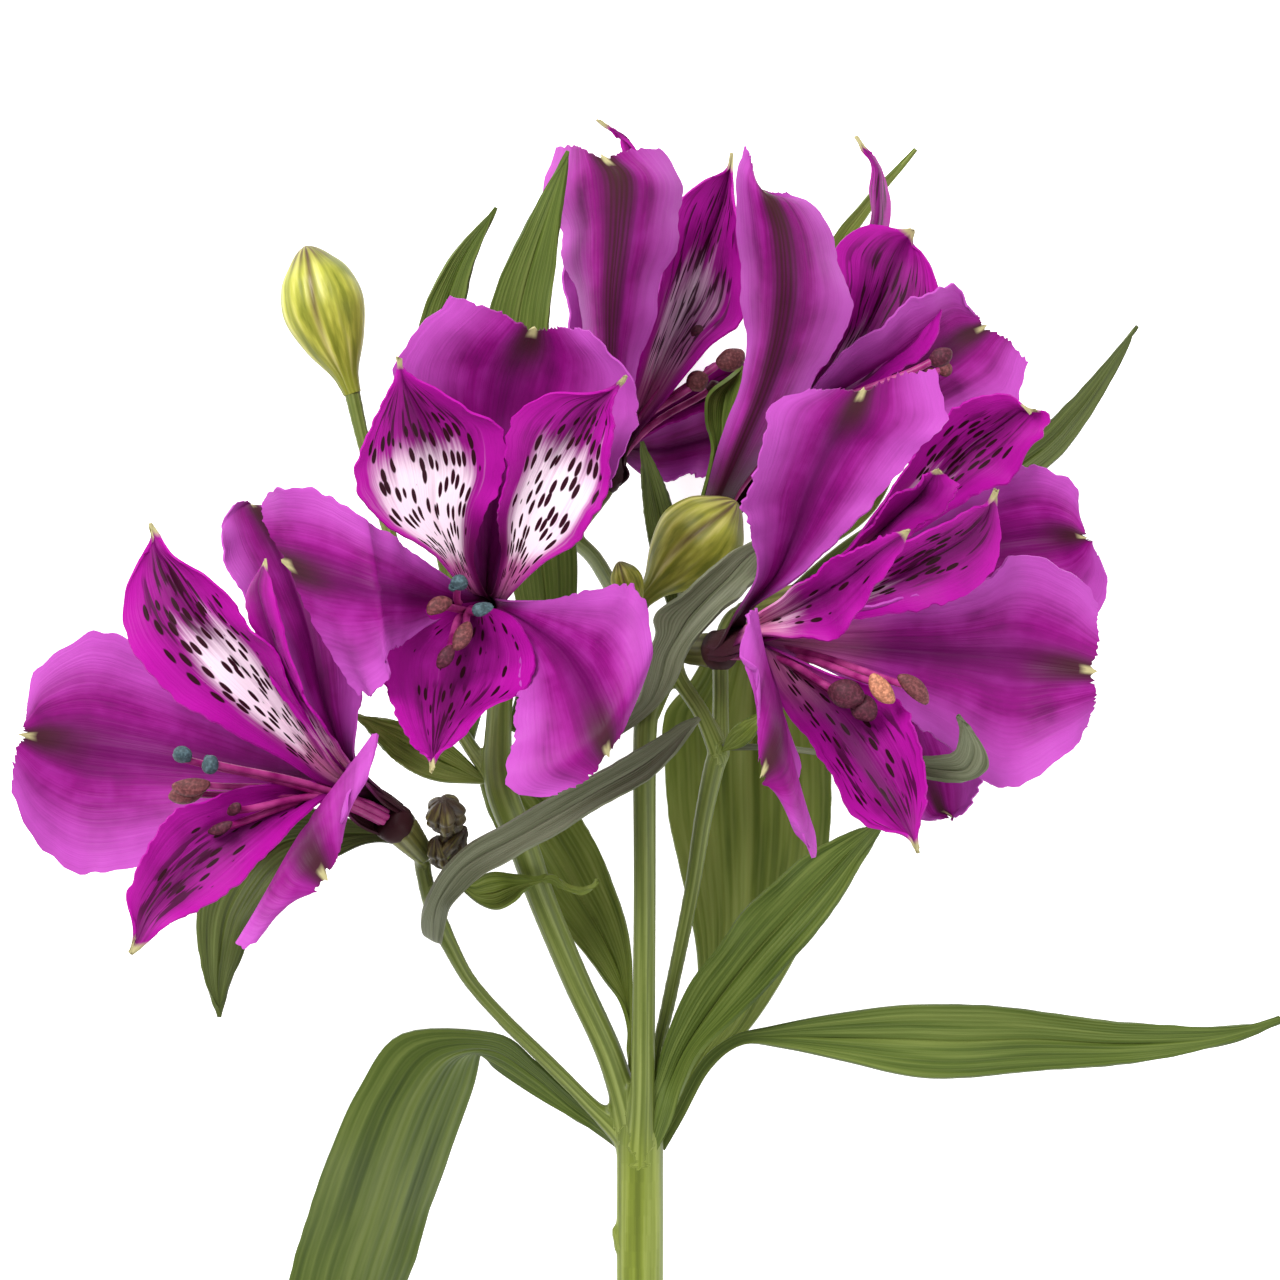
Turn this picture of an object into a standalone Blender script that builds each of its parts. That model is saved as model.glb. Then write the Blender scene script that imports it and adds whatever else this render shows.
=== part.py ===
"""One cut alstroemeria stem, lying on a surface: a leafy stalk that ends in an umbel of six open
flowers with their stamens, buds, bracts and leaves. X runs to the right of the umbel, Y from the cut
end to the flowers and Z up from the surface. The tables below are in millimetres, from a point on the
surface right under the node where the rays leave the main stem."""

import math

import bmesh
import bpy
import numpy as np

MM = 0.001

# Driving sizes, in millimetres.
PETAL_THICKNESS = 0.7
LEAF_THICKNESS = 0.8
STEM_LENGTH = 153.0
STEM_RADIUS = 3.6
NODE_HEIGHT = 45.0
SEAT_GAP = 0.3
FILAMENT_RADIUS = 0.5
STALK_SIDES = 7
ANTHER_LENGTH = 6.0
ANTHER_RADIUS = 1.2
CLAW_RING_OUTER = 2.9
CLAW_RING_INNER = 2.4
RECEPTACLE_RADIUS = 3.3
RECEPTACLE_HEIGHT = 2.5
OVARY_LENGTH = 9.0
OVARY_RADIUS = 3.2
BOX_CENTRE = (2.1, -0.9)

# Half widths along a blade, as fractions of the widest one.
OUTER_OUTLINE = ((0.0, 0.12), (0.17, 0.16), (0.34, 0.44), (0.50, 0.74), (0.66, 0.94), (0.80, 1.0),
                 (0.92, 0.90), (1.0, 0.62))
INNER_OUTLINE = ((0.0, 0.15), (0.17, 0.22), (0.32, 0.52), (0.46, 0.84), (0.60, 1.0), (0.74, 0.90),
                 (0.88, 0.52), (1.0, 0.06))
LEAF_OUTLINE = ((0.0, 0.18), (0.10, 0.40), (0.22, 0.72), (0.34, 0.93), (0.46, 1.0), (0.58, 0.95),
                (0.70, 0.80), (0.82, 0.56), (0.92, 0.28), (1.0, 0.05))
STALKED_OUTLINE = ((0.0, 0.20), (0.10, 0.17), (0.20, 0.30), (0.32, 0.72), (0.44, 0.96), (0.56, 1.0),
                   (0.68, 0.90), (0.80, 0.64), (0.91, 0.32), (1.0, 0.05))
BRACT_OUTLINE = ((0.0, 0.10), (0.12, 0.42), (0.30, 0.86), (0.48, 1.0), (0.66, 0.86), (0.84, 0.48),
                 (1.0, 0.06))
BUD_OUTLINE = ((0.0, 0.22), (0.15, 0.35), (0.35, 0.75), (0.58, 1.0), (0.78, 0.85), (0.93, 0.42),
               (1.0, 0.10))
# How far the lobes beside the tip of a broad tepal reach past it, and its corners fall back.
END_LOBE = 0.16
END_CORNER = 0.30
CLAW_LENGTH = 9.0
# The claw ends, and the blade begins, at these shares of a tepal's length.
CLAW_SHARE = 0.15
OPEN_SHARE = 0.45
# How far the tip of a tepal bends back, and how round its claw and its blade are, in degrees.
TIP_FLARE = 24
OUTER_CURL = (80, 24)
INNER_CURL = (75, 10)
INNER_FOLD = 12
FOLD_START = 0.2
FOLD_RUN = 0.2
BLADE_COLUMNS = 4

# Stamens: the disc that they stand on, and each thread's place on it.
DISC_RADIUS = 1.45
DISC_HEIGHT = 1.2
THREAD_RING = 0.85
THREAD_SIDES = 3
THREAD_POINTS = 5
ANTHER_SIDES = 5

# Each flower: the top of its ovary, the way it faces, and its tepals as kind, tip, half width and, where
# its own twist sets it, the way the width of the blade runs. Outer tepals are broad, inner ones narrow
# and keeled.
FLOWERS = {
    "left": {
        "base": (-34.6, 46.6, 62),
        "axis": (-0.70, 0.42, 0.58),
        "tepals": (
            ("outer", (-90.6, 61, 58), 18.5, None),
            ("outer", (-56.6, 95, 46), 16.5, None),
            ("outer", (-44.6, 42.5, 104), 17.5, (-0.57, -0.82, 0)),
            ("inner", (-70.8, 92, 74), 10.5, None),
            ("inner", (-53.7, 85, 88), 9.5, (-0.3, -0.1, 1)),
            ("inner", (-72.9, 30.4, 82), 10.0, (-0.42, 0.47, 0.78)),
        ),
        "anthers": ((-65, 52.5, 75), (-65, 57.5, 82), (-62, 57, 83), (-61, 49.6, 74), (-57, 54, 80)),
    },
    "front": {
        "base": (-22, 79.5, 60),
        "axis": (-0.3, 0.05, 0.95),
        "tepals": (
            ("outer", (-14.5, 120.3, 84), 17.5, None),
            ("outer", (-50.2, 85.0, 94), 16.5, (0.44, -0.9, 0)),
            ("outer", (-5.1, 59.2, 96), 17.0, (-0.49, -0.87, 0.1)),
            ("inner", (-34.9, 114.7, 88), 11.5, None),
            ("inner", (-2.6, 112.8, 88), 11.5, None),
            ("inner", (-29.3, 56.2, 96), 11.0, None),
        ),
        "anthers": ((-25.7, 82, 90), (-22.6, 79.6, 92), (-28.6, 80, 88), (-26, 75, 90), (-27, 71.4, 88)),
    },
    "top": {
        "base": (-6.1, 99, 30),
        "axis": (0.5, 0.85, 0.0),
        "tepals": (
            ("outer", (-5.5, 146, 58), 15.0, None),
            ("outer", (26, 103, 8), 13.0, None),
            ("outer", (-13, 147, 6.2), 14.0, None),
            ("inner", (-4.8, 152, 42), 7.0, None),
            ("inner", (13.8, 149, 15), 11.5, None),
            ("inner", (24, 112, 14), 9.0, None),
        ),
        "anthers": ((11.5, 115.6, 30), (14.6, 120.2, 29), (10, 122, 32), (9.5, 115, 26)),
    },
    "upper_right": {
        "base": (11.4, 93.2, 34),
        "axis": (0.48, 0.85, 0.2),
        "tepals": (
            ("outer", (17.8, 141.4, 62), 15.0, (0.62, -0.25, -0.74)),
            ("outer", (52.2, 122.9, 26), 17.0, None),
            ("outer", (28, 130, 0.4), 11.0, None),
            ("inner", (33, 149.5, 46), 8.0, (0.15, 0, 1)),
            ("inner", (40.9, 136, 30), 11.5, None),
            ("inner", (46, 106, 24), 9.0, None),
        ),
        "anthers": ((44.5, 117.2, 40), (38, 121, 42), (35, 117, 46), (33, 123, 45)),
    },
    "right": {
        "base": (11.2, 73.5, 62),
        "axis": (0.7, 0.0, 0.7),
        "tepals": (
            ("outer", (31.6, 110.4, 92), 18.0, None),
            ("outer", (66.4, 70.4, 64), 17.5, None),
            ("outer", (17.0, 56.2, 104), 18.0, (0.26, -0.95, 0)),
            ("inner", (37.2, 90.6, 96), 9.5, (0.5, -0.75, -0.3)),
            ("inner", (50.8, 97.4, 76), 10.5, (0.55, -0.8, 0)),
            ("inner", (40, 44.4, 88), 11.0, None),
        ),
        "anthers": ((30, 66.4, 88), (35, 68, 88), (38, 67.8, 84), (32, 70, 92), (36, 71, 82)),
    },
    "far_right": {
        "base": (24, 81, 46),
        "axis": (0.93, 0.2, 0.25),
        "tepals": (
            ("outer", (65.5, 91, 53), 15.5, (0.5, -0.86, 0)),
            ("outer", (46.7, 48.2, 40), 14.5, None),
            ("outer", (44, 70, 16), 11.5, None),
            ("inner", (56.5, 109, 56), 11.0, (0.5, -0.85, 0)),
            ("inner", (41.6, 99.2, 60), 9.0, None),
            ("inner", (56, 68, 44), 10.0, None),
        ),
        "anthers": ((47, 85, 54), (45, 81, 56), (49, 81, 52), (42, 86, 57)),
    },
}

# Leaves and bracts: the midrib's points, half width, the way the upper face looks, a crease along the
# midrib in degrees and the outline.
LEAVES = {
    "leaf_drooping": (((-4.8, 0.6, 42.9), (-15, 7.5, 42), (-26, 14.5, 43), (-36, 2, 31), (-44, -22, 12),
                       (-50, -48, 0.4), (-52, -62, 0.4)), 9.0, (-0.3, 0.2, 1), 8, LEAF_OUTLINE),
    "leaf_right": (((5.4, 1.4, 46), (9.5, 9.0, 50), (15, 15.2, 50), (31.4, 16.4, 49), (48, 16, 47),
                    (66, 15.3, 44), (84, 16.6, 40), (97.5, 18.3, 36)), 5.4, (0, 0, 1), 14, STALKED_OUTLINE),
    "leaf_diagonal": (((2.0, 4.5, 50.7), (7.4, 15.7, 56), (14.8, 26, 58.5), (25.2, 37.2, 60),
                       (35.1, 47.1, 62)), 6.2, (0.3, -0.3, 1), 16, LEAF_OUTLINE),
    "leaf_broad": (((3.6, 2.3, 41.9), (7.5, 8.5, 40), (13.3, 17.4, 39), (15.6, 28, 37), (16.7, 41.7, 35),
                    (16.7, 53.8, 34), (16.7, 65.9, 33), (18, 76, 33)), 11.0, (0, 0, 1), 10, LEAF_OUTLINE),
    "leaf_inner": (((-1.7, 6.6, 42), (-2.6, 14, 40), (-4.8, 26.8, 40), (-9.3, 38.1, 42), (-15.8, 45.7, 43),
                    (-23, 50.5, 44)), 5.5, (0, 0, 1), 14, LEAF_OUTLINE),
    "leaf_top_left": (((-25.6, 61, 49.4), (-24.5, 75, 41), (-27, 95, 40), (-30, 118, 42),
                       (-27.5, 130, 44), (-21.6, 139.8, 46)), 5.0, (0, 0, 1), 12, LEAF_OUTLINE),
    "leaf_top": (((-18.4, 62.4, 50.4), (-14.4, 73, 45), (-14.5, 86, 46), (-18, 106, 51), (-17.7, 124, 56),
                  (-10.6, 147, 61)), 6.0, (0, 0, 1), 12, LEAF_OUTLINE),
    "leaf_behind": (((-32.65, 44.15, 55.7), (-38, 46, 53.5), (-45, 46, 53.5), (-54, 44.5, 54.5),
                     (-60.5, 36, 56), (-62.3, 27, 57), (-62.2, 19.3, 58)), 5.4, (0, 0, 1), 12,
                    STALKED_OUTLINE),
    "leaf_far_right": (((13.7, 74.4, 43.9), (20, 78, 37), (34, 88, 30), (58, 101.7, 27), (67, 110, 27),
                        (76, 123, 28)), 3.6, (0, 0, 1), 12, LEAF_OUTLINE),
    "leaf_back": (((9.2, 87.2, 28.9), (16, 87.5, 25), (24, 89, 21), (35, 97, 16), (39, 112, 11),
                   (35, 127, 11), (30.5, 134.5, 14), (35, 142, 16), (42.6, 150.9, 17)), 2.4, (0, 0, 1), 10,
                  LEAF_OUTLINE),
    "leaf_middle": (((4.9, 79.9, 38.7), (4, 88, 38.5), (2.5, 96, 38), (0.3, 105, 37)), 2.4, (0, 0, 1), 12,
                    LEAF_OUTLINE),
    "bract_long": (((-29.2, 31.6, 56.7), (-30.4, 33, 61), (-29.3, 36.2, 66), (-26.6, 40.4, 69),
                    (-20.4, 44.4, 70), (-11.7, 48.5, 70), (-2.9, 52.8, 70), (3.6, 57.8, 69),
                    (7.6, 61.8, 67)), 3.3, (0, -0.4, 1), 12, BRACT_OUTLINE),
    "bract_upper": (((-4.5, 59, 62.5), (0, 63.3, 63.2), (4.0, 71.2, 65.5), (8.0, 78.4, 66),
                     (13.2, 84.8, 64), (17.4, 89.8, 61)), 3.9, (0, -0.3, 1), 10, BRACT_OUTLINE),
    "bract_left": (((-23.9, 54.4, 53.1), (-32, 58, 51), (-42.2, 63.7, 49)), 2.8, (0, 0, 1), 12,
                   BRACT_OUTLINE),
    "bract_small": (((-23.6, 38.1, 58), (-18.5, 38.4, 57.2), (-14.9, 38.9, 56.6), (-11.8, 39.3, 56.8),
                     (-6.6, 38.9, 56)), 1.6, (0, 0, 1), 10, BRACT_OUTLINE),
    "bract_right": (((13.0, 59.3, 58.0), (16, 62, 61.5), (18.8, 64.6, 62)), 1.6, (0, 0, 1), 10,
                    BRACT_OUTLINE),
}

# Stalks: points with a radius at each, from the main stem outward.
STALKS = {
    "ray_left": ((0, -2, 44, 2.4), (-6, 3.8, 46, 1.7), (-17.9, 18.3, 50, 1.5), (-27.5, 29.7, 54, 1.6),
                 (-29.9, 34.3, 56, 1.8), (-29.6, 39, 55.5, 1.6), (-28.2, 42.7, 56.7, 1.6)),
    "ray_front": ((0, -1, 45, 3.4), (-3.7, 12.1, 47, 3.2), (-10.4, 28.7, 50, 3.0), (-17.1, 43.8, 54, 3.0),
                  (-20.7, 53.5, 56, 2.8), (-21, 63, 52, 2.1), (-20.2, 72, 48.5, 1.9),
                  (-19.4, 77.6, 49, 1.8), (-19.3, 79, 51.6, 1.7)),
    "ray_middle": ((0, -2, 46, 2.2), (0.4, 9.4, 50, 1.8), (0.7, 36.6, 57, 1.7), (0.7, 60.3, 61, 1.8),
                   (1.5, 66, 60, 1.8)),
    "ray_right": ((0, -2, 44, 2.2), (3, 10.6, 47, 1.8), (6.7, 30.3, 51, 1.6), (10.7, 52.8, 55, 1.7),
                  (11.9, 58.7, 56, 1.8)),
    "pedicel_right": ((11.9, 57.7, 56, 1.6), (9.2, 64, 56, 1.3), (5.8, 69.4, 55, 1.3),
                      (4.9, 73.3, 55.6, 1.4)),
    "pedicel_far_right": ((11.9, 57.7, 56, 1.5), (12, 66, 52, 1.3), (12.2, 74, 46.5, 1.3),
                          (13.6, 78, 43.6, 1.3), (15.8, 79.3, 43.8, 1.4)),
    "pedicel_top": ((1.5, 64, 60, 1.5), (0, 74, 52, 1.3), (-6, 86, 36, 1.3), (-9.5, 90, 30.5, 1.3),
                    (-10.5, 91.5, 30, 1.4)),
    "pedicel_upper_right": ((1.5, 64, 60, 1.5), (5, 72, 50, 1.3), (6.6, 80, 37, 1.3),
                            (6.8, 84.6, 32.6, 1.3), (7.2, 85.8, 32.3, 1.4)),
    "pedicel_bud_left": ((-20.7, 53, 55, 1.4), (-28, 64, 50, 1.1), (-36, 86, 45, 1.1), (-41, 103, 45, 1.1),
                         (-43.3, 112.7, 45, 1.3)),
    "pedicel_bud_middle": ((1.5, 65, 60, 1.4), (-1.5, 73, 55, 1.0), (-2.6, 80, 51, 1.0),
                           (0.4, 84.1, 49.9, 1.2)),
    "pedicel_bud_small": ((1.5, 65, 60, 1.3), (0.5, 73, 59, 0.9), (-0.1, 80.3, 57.2, 0.9)),
    "pedicel_spent": ((-29.7, 37.5, 56, 1.3), (-26.4, 42.3, 60, 1.0), (-27.6, 45.6, 65, 1.0)),
}

# Buds: base, tip and largest radius.
BUDS = {
    "bud_left": ((-43.5, 113.3, 45), (-50.2, 134.1, 45), 6.2),
    "bud_middle": ((0.9, 84.5, 50), (14, 94.8, 52), 6.3),
    "bud_small": ((-0.4, 80.9, 57.1), (-3.4, 88.6, 57.5), 2.5),
    "bud_spent": ((-27.7, 46.2, 65.6), (-27.4, 52.4, 68.5), 3.2),
}

COLOURS = {
    "stem": (0.25, 0.34, 0.10, 1),
    "leaf": (0.08, 0.17, 0.05, 1),
    "petal": (0.45, 0.02, 0.38, 1),
    "stamens": (0.30, 0.07, 0.14, 1),
    "bud": (0.42, 0.45, 0.10, 1),
}


def material(name, roughness=0.5):
    made = bpy.data.materials.new(name)
    made.use_nodes = True
    shader = made.node_tree.nodes["Principled BSDF"]
    shader.inputs["Base Color"].default_value = COLOURS[name]
    shader.inputs["Roughness"].default_value = roughness
    shader.inputs["Metallic"].default_value = 0.0
    return made


def vector(values):
    return np.array(values, float)


def unit(values):
    return values / np.linalg.norm(values)


def along(points, shares):
    """The places at these shares of the length of a line through the points."""
    lengths = np.r_[0, np.cumsum(np.linalg.norm(np.diff(points, axis=0), axis=1))]
    wanted = np.array(shares) * lengths[-1]
    return np.stack([np.interp(wanted, lengths, points[:, k]) for k in range(points.shape[1])], axis=1)


def smooth_line(points, steps=12):
    """A smooth curve through the points, as a fine line of them."""
    points = [vector(point) for point in points]
    points = [2 * points[0] - points[1]] + points + [2 * points[-1] - points[-2]]
    line = []
    for before, start, end, after in zip(points, points[1:], points[2:], points[3:]):
        for u in np.arange(steps) / steps:
            line.append(0.5 * (2 * start + (end - before) * u
                               + (2 * before - 5 * start + 4 * end - after) * u ** 2
                               + (3 * start - before - 3 * end + after) * u ** 3))
    return np.array(line + [points[-2]])


def bezier_line(corners, steps=24):
    u = np.linspace(0, 1, steps)[:, None]
    a, b, c, d = corners
    return (1 - u) ** 3 * a + 3 * (1 - u) ** 2 * u * b + 3 * (1 - u) * u ** 2 * c + u ** 3 * d


def turned(values, axis, angle):
    """A vector turned about a unit axis."""
    return (values * math.cos(angle) + np.cross(axis, values) * math.sin(angle)
            + axis * np.dot(axis, values) * (1 - math.cos(angle)))


def add_object(name, points, faces, colour):
    """A mesh object from points in millimetres."""
    mesh = bpy.data.meshes.new(name)
    placed = (np.array(points) - np.array((*BOX_CENTRE, 0.0))) * MM
    mesh.from_pydata([tuple(point) for point in placed], [], faces)
    mesh.materials.append(colour)
    mesh.update()
    made = bpy.data.objects.new(name, mesh)
    bpy.context.scene.collection.objects.link(made)
    return made


def blade(name, line, sides, outline, half_width, thickness, colour, columns=2, fold=0.0, curl=(0, 0),
          fold_from=0.0, lobed=False):
    """A thin curved blade along a line. sides gives the sideways direction at a share of its length,
    fold the slope of each half away from the midrib, and curl how much more it bends to its edge."""
    shares = [share for share, _ in outline]
    spine = along(line, shares)
    ahead = along(line, [min(share + 0.01, 1) for share in shares])
    behind = along(line, [max(share - 0.01, 0) for share in shares])
    points = []
    half = columns // 2
    for share, place, after, before in zip(shares, spine, ahead, behind):
        tangent = unit(after - before)
        side = sides(share, tangent)
        up = np.cross(side, tangent)
        step = half_width * dict(outline)[share] / half
        bend = curl[0] + (curl[1] - curl[0]) * min(share / 0.5, 1)
        slope = fold * min(max(share - fold_from, 0) / FOLD_RUN, 1)
        right, left = [place], [place]
        for k in range(half):
            angle = math.radians(slope + bend * (k + 0.5) / half)
            right.append(right[-1] + step * (math.cos(angle) * side + math.sin(angle) * up))
            left.append(left[-1] + step * (-math.cos(angle) * side + math.sin(angle) * up))
        row = left[:0:-1] + right
        if lobed:
            ending = max(share - 0.7, 0) / 0.3
            for k in range(columns + 1):
                u = abs(k / half - 1)
                shift = END_LOBE * math.sin(math.pi * u) - END_CORNER * u * u
                row[k] = row[k] + tangent * (half_width * shift * ending)
        points += [(x, y, max(z, thickness / 2)) for x, y, z in row]
    width = columns + 1
    faces = []
    for i in range(len(shares) - 1):
        for j in range(columns):
            a, b = i * width + j, i * width + j + 1
            c, d = b + width, a + width
            faces += [(a, b, c), (a, c, d)] if j < half else [(a, b, d), (b, c, d)]
    made = add_object(name, points, faces, colour)
    walls = made.modifiers.new("thickness", "SOLIDIFY")
    walls.thickness = thickness * MM
    walls.offset = 0
    return made


def tepal(name, base, axis, kind, tip, half_width, chosen, colour):
    """A tepal: its claw rises along the flower's axis and its blade spreads to the tip."""
    base, tip = vector(base), vector(tip)
    outward = tip - base
    outward = unit(outward - np.dot(outward, axis) * axis)
    ring = CLAW_RING_OUTER if kind == "outer" else CLAW_RING_INNER
    root = base + axis * (0.4 * RECEPTACLE_HEIGHT) + outward * ring
    throat = root + axis * CLAW_LENGTH + outward * 0.6
    reach = np.linalg.norm(tip - throat)
    across = np.cross(outward, axis)
    last = turned(unit(tip - throat), across, math.radians(TIP_FLARE))
    bend = bezier_line((throat, throat + axis * 0.3 * reach, tip - last * 0.38 * reach, tip))
    line = np.vstack([[root], bend])

    def sides(share, tangent):
        blend = min(max(share - CLAW_SHARE, 0) / OPEN_SHARE, 1)
        side = across
        if chosen:
            wanted = vector(chosen)
            wanted = unit(wanted - np.dot(wanted, tangent) * tangent)
            wanted = wanted if np.dot(wanted, side) > 0 else -wanted
            side = unit(side * (1 - blend) + wanted * blend)
        return unit(side - np.dot(side, tangent) * tangent)

    if kind == "outer":
        return blade(name, line, sides, OUTER_OUTLINE, half_width, PETAL_THICKNESS, colour,
                     columns=BLADE_COLUMNS, curl=OUTER_CURL, lobed=True)
    return blade(name, line, sides, INNER_OUTLINE, half_width, PETAL_THICKNESS, colour,
                 columns=BLADE_COLUMNS, fold=INNER_FOLD, curl=INNER_CURL, fold_from=FOLD_START)


def rings(name, line, radii, count, colour, ridges=0, ridge=0.0, floor=False):
    """A closed tube round a line, or a turned body when the radii change much."""
    points, faces = [], []
    tangent = unit(line[1] - line[0])
    side = unit(np.cross(tangent, (0.0, 0.0, 1.0) if abs(tangent[2]) < 0.9 else (1.0, 0.0, 0.0)))
    for i, (place, radius) in enumerate(zip(line, radii)):
        tangent = unit(line[min(i + 1, len(line) - 1)] - line[max(i - 1, 0)])
        side = unit(side - np.dot(side, tangent) * tangent)
        up = np.cross(side, tangent)
        for k in range(count):
            angle = 2 * math.pi * k / count
            reach = radius * (1 + ridge * math.cos(ridges * angle))
            point = place + reach * (math.cos(angle) * side + math.sin(angle) * up)
            if floor:
                point[2] = max(point[2], 0)
            points.append(point)
    for i in range(len(line) - 1):
        for k in range(count):
            a, b = i * count + k, i * count + (k + 1) % count
            faces.append((a, b, b + count, a + count))
    faces.append(tuple(range(count))[::-1])
    faces.append(tuple(range((len(line) - 1) * count, len(line) * count)))
    made = add_object(name, points, faces, colour)
    shell = bmesh.new()
    shell.from_mesh(made.data)
    bmesh.ops.recalc_face_normals(shell, faces=shell.faces)
    shell.to_mesh(made.data)
    shell.free()
    return made


def keep_largest(mesh):
    """Drops the slivers and closed pockets that a union leaves where thin blades cross."""
    shell = bmesh.new()
    shell.from_mesh(mesh)
    left = set(shell.verts)
    bodies = []
    while left:
        body, edge = set(), [left.pop()]
        while edge:
            vert = edge.pop()
            body.add(vert)
            for link in vert.link_edges:
                other = link.other_vert(vert)
                if other in left:
                    left.remove(other)
                    edge.append(other)
        bodies.append(body)
    bodies.sort(key=len)
    for body in bodies[:-1]:
        bmesh.ops.delete(shell, geom=list(body), context="VERTS")
    shell.to_mesh(mesh)
    shell.free()


def joined(name, pieces, colour):
    """One body: the first piece and the rest united in a single Boolean. The exact solver leaves loose
    slivers where thin blades cross, so this is the manifold one."""
    bpy.context.view_layer.update()
    graph = bpy.context.evaluated_depsgraph_get()
    plain = []
    for piece in pieces:
        mesh = bpy.data.meshes.new_from_object(piece.evaluated_get(graph))
        plain.append(bpy.data.objects.new(piece.name, mesh))
        bpy.data.objects.remove(piece)
    others = bpy.data.collections.new(name + "_parts")
    bpy.context.scene.collection.children.link(others)
    made = plain[0]
    made.name = name
    bpy.context.scene.collection.objects.link(made)
    for piece in plain[1:]:
        others.objects.link(piece)
    union = made.modifiers.new("union", "BOOLEAN")
    union.operation = "UNION"
    union.operand_type = "COLLECTION"
    union.collection = others
    union.solver = "MANIFOLD"
    bpy.context.view_layer.update()
    graph = bpy.context.evaluated_depsgraph_get()
    mesh = bpy.data.meshes.new_from_object(made.evaluated_get(graph))
    made.modifiers.remove(union)
    made.data = mesh
    keep_largest(mesh)
    mesh.materials.clear()
    mesh.materials.append(colour)
    for piece in list(others.objects):
        bpy.data.objects.remove(piece)
    bpy.data.collections.remove(others)
    return made


def flower(name, facts, colour):
    axis = unit(vector(facts["axis"]))
    base = vector(facts["base"])
    shares = (0, 0.4, 1)
    line = np.array([base + axis * RECEPTACLE_HEIGHT * share for share in shares])
    pieces = [rings(name + "_receptacle", line, (2.4, RECEPTACLE_RADIUS, RECEPTACLE_RADIUS), 8, colour)]
    for number, (kind, tip, half_width, chosen) in enumerate(facts["tepals"]):
        label = f"{name}_{kind}_{number}"
        pieces.append(tepal(label, base, axis, kind, tip, half_width, chosen, colour))
    return joined("flower_" + name, pieces, colour)


def stamens(name, facts, colour):
    """The filaments rise from a small disc inside the claws and end in anthers."""
    axis = unit(vector(facts["axis"]))
    base = vector(facts["base"]) + axis * (RECEPTACLE_HEIGHT + SEAT_GAP)
    side = unit(np.cross(axis, (0.0, 1.0, 0.0) if abs(axis[1]) < 0.8 else (1.0, 0.0, 0.0)))
    disc = np.array([base, base + axis * DISC_HEIGHT])
    pieces = [rings(name + "_disc", disc, (DISC_RADIUS, DISC_RADIUS), 6, colour)]
    count = len(facts["anthers"])
    centre = np.mean([vector(place) for place in facts["anthers"]], axis=0)
    for number, place in enumerate(facts["anthers"]):
        place = vector(place)
        spoke = turned(side, axis, 2 * math.pi * number / count)
        root = base + axis * 0.5 + spoke * THREAD_RING
        reach = np.linalg.norm(place - root)
        line = bezier_line((root, root + axis * 0.5 * reach, place - axis * 0.1 * reach, place))
        line = along(line, np.linspace(0, 1, THREAD_POINTS))
        radii = [FILAMENT_RADIUS] * THREAD_POINTS
        pieces.append(rings(f"{name}_filament_{number}", line, radii, THREAD_SIDES, colour))
        lean = unit(place - centre + axis * 2)
        half = 0.5 * ANTHER_LENGTH
        body = np.array([place + lean * half * share for share in (-1, -0.55, 0.55, 1)])
        radii = [ANTHER_RADIUS * share for share in (0.45, 1, 1, 0.4)]
        pieces.append(rings(f"{name}_anther_{number}", body, radii, ANTHER_SIDES, colour))
    return joined("stamens_" + name, pieces, colour)


def leaf(name, points, half_width, face, crease, outline, colour):
    line = smooth_line(points)
    face = vector(face)

    def sides(share, tangent):
        return unit(np.cross(tangent, face))

    return blade(name, line, sides, outline, half_width, LEAF_THICKNESS, colour, columns=2, fold=crease)


def bud(name, base, tip, radius, colour):
    base, tip = vector(base), vector(tip)
    line = np.array([base + (tip - base) * share for share, _ in BUD_OUTLINE])
    radii = [radius * share for _, share in BUD_OUTLINE]
    return rings(name, line, radii, 12, colour, ridges=3, ridge=0.06)


def stem(colour):
    """The main stem, its rays and pedicels, and the ovary under each flower, grown as one piece."""
    start = vector((0, -STEM_LENGTH, STEM_RADIUS - 0.2))
    end = vector((0, 2, NODE_HEIGHT + 0.6))
    line = along(np.array([start, end]), np.linspace(0, 1, 8))
    radii = [STEM_RADIUS] * 6 + [STEM_RADIUS, STEM_RADIUS + 0.8]
    pieces = [rings("main", line, radii, 10, colour, floor=True)]
    for name, points in STALKS.items():
        placed = along(smooth_line(points), np.linspace(0, 1, len(points) + 2))
        pieces.append(rings(name, placed[:, :3], placed[:, 3], STALK_SIDES, colour))
    for name, facts in FLOWERS.items():
        axis = unit(vector(facts["axis"]))
        top = vector(facts["base"]) - axis * SEAT_GAP
        line = np.array([top - axis * OVARY_LENGTH * (1 - share) for share in (0, 0.2, 0.55, 0.85, 1)])
        radii = [OVARY_RADIUS * share for share in (0.5, 0.9, 1, 0.85, 0.72)]
        pieces.append(rings(name + "_ovary", line, radii, 12, colour, ridges=6, ridge=0.07))
    return joined("stem", pieces, colour)


def main():
    for old in list(bpy.data.objects):
        bpy.data.objects.remove(old)
    stem(material("stem", 0.45))
    leaf_colour = material("leaf", 0.5)
    for name, (points, half_width, face, crease, outline) in LEAVES.items():
        leaf(name, points, half_width, face, crease, outline, leaf_colour)
    for name, facts in FLOWERS.items():
        flower(name, facts, material("petal", 0.5))
        stamens(name, facts, material("stamens", 0.6))
    for name, (base, tip, radius) in BUDS.items():
        bud(name, base, tip, radius, material("bud", 0.5))


main()
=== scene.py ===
"""The looks of one cut alstroemeria stem that lies on a surface: tepals with their veins, dashes and
ruffled margins, stamens with pollen, veined leaves, buds and a ribbed green stem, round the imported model.
Tables are in millimetres, and turned to metres in one place."""

import math

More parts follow.
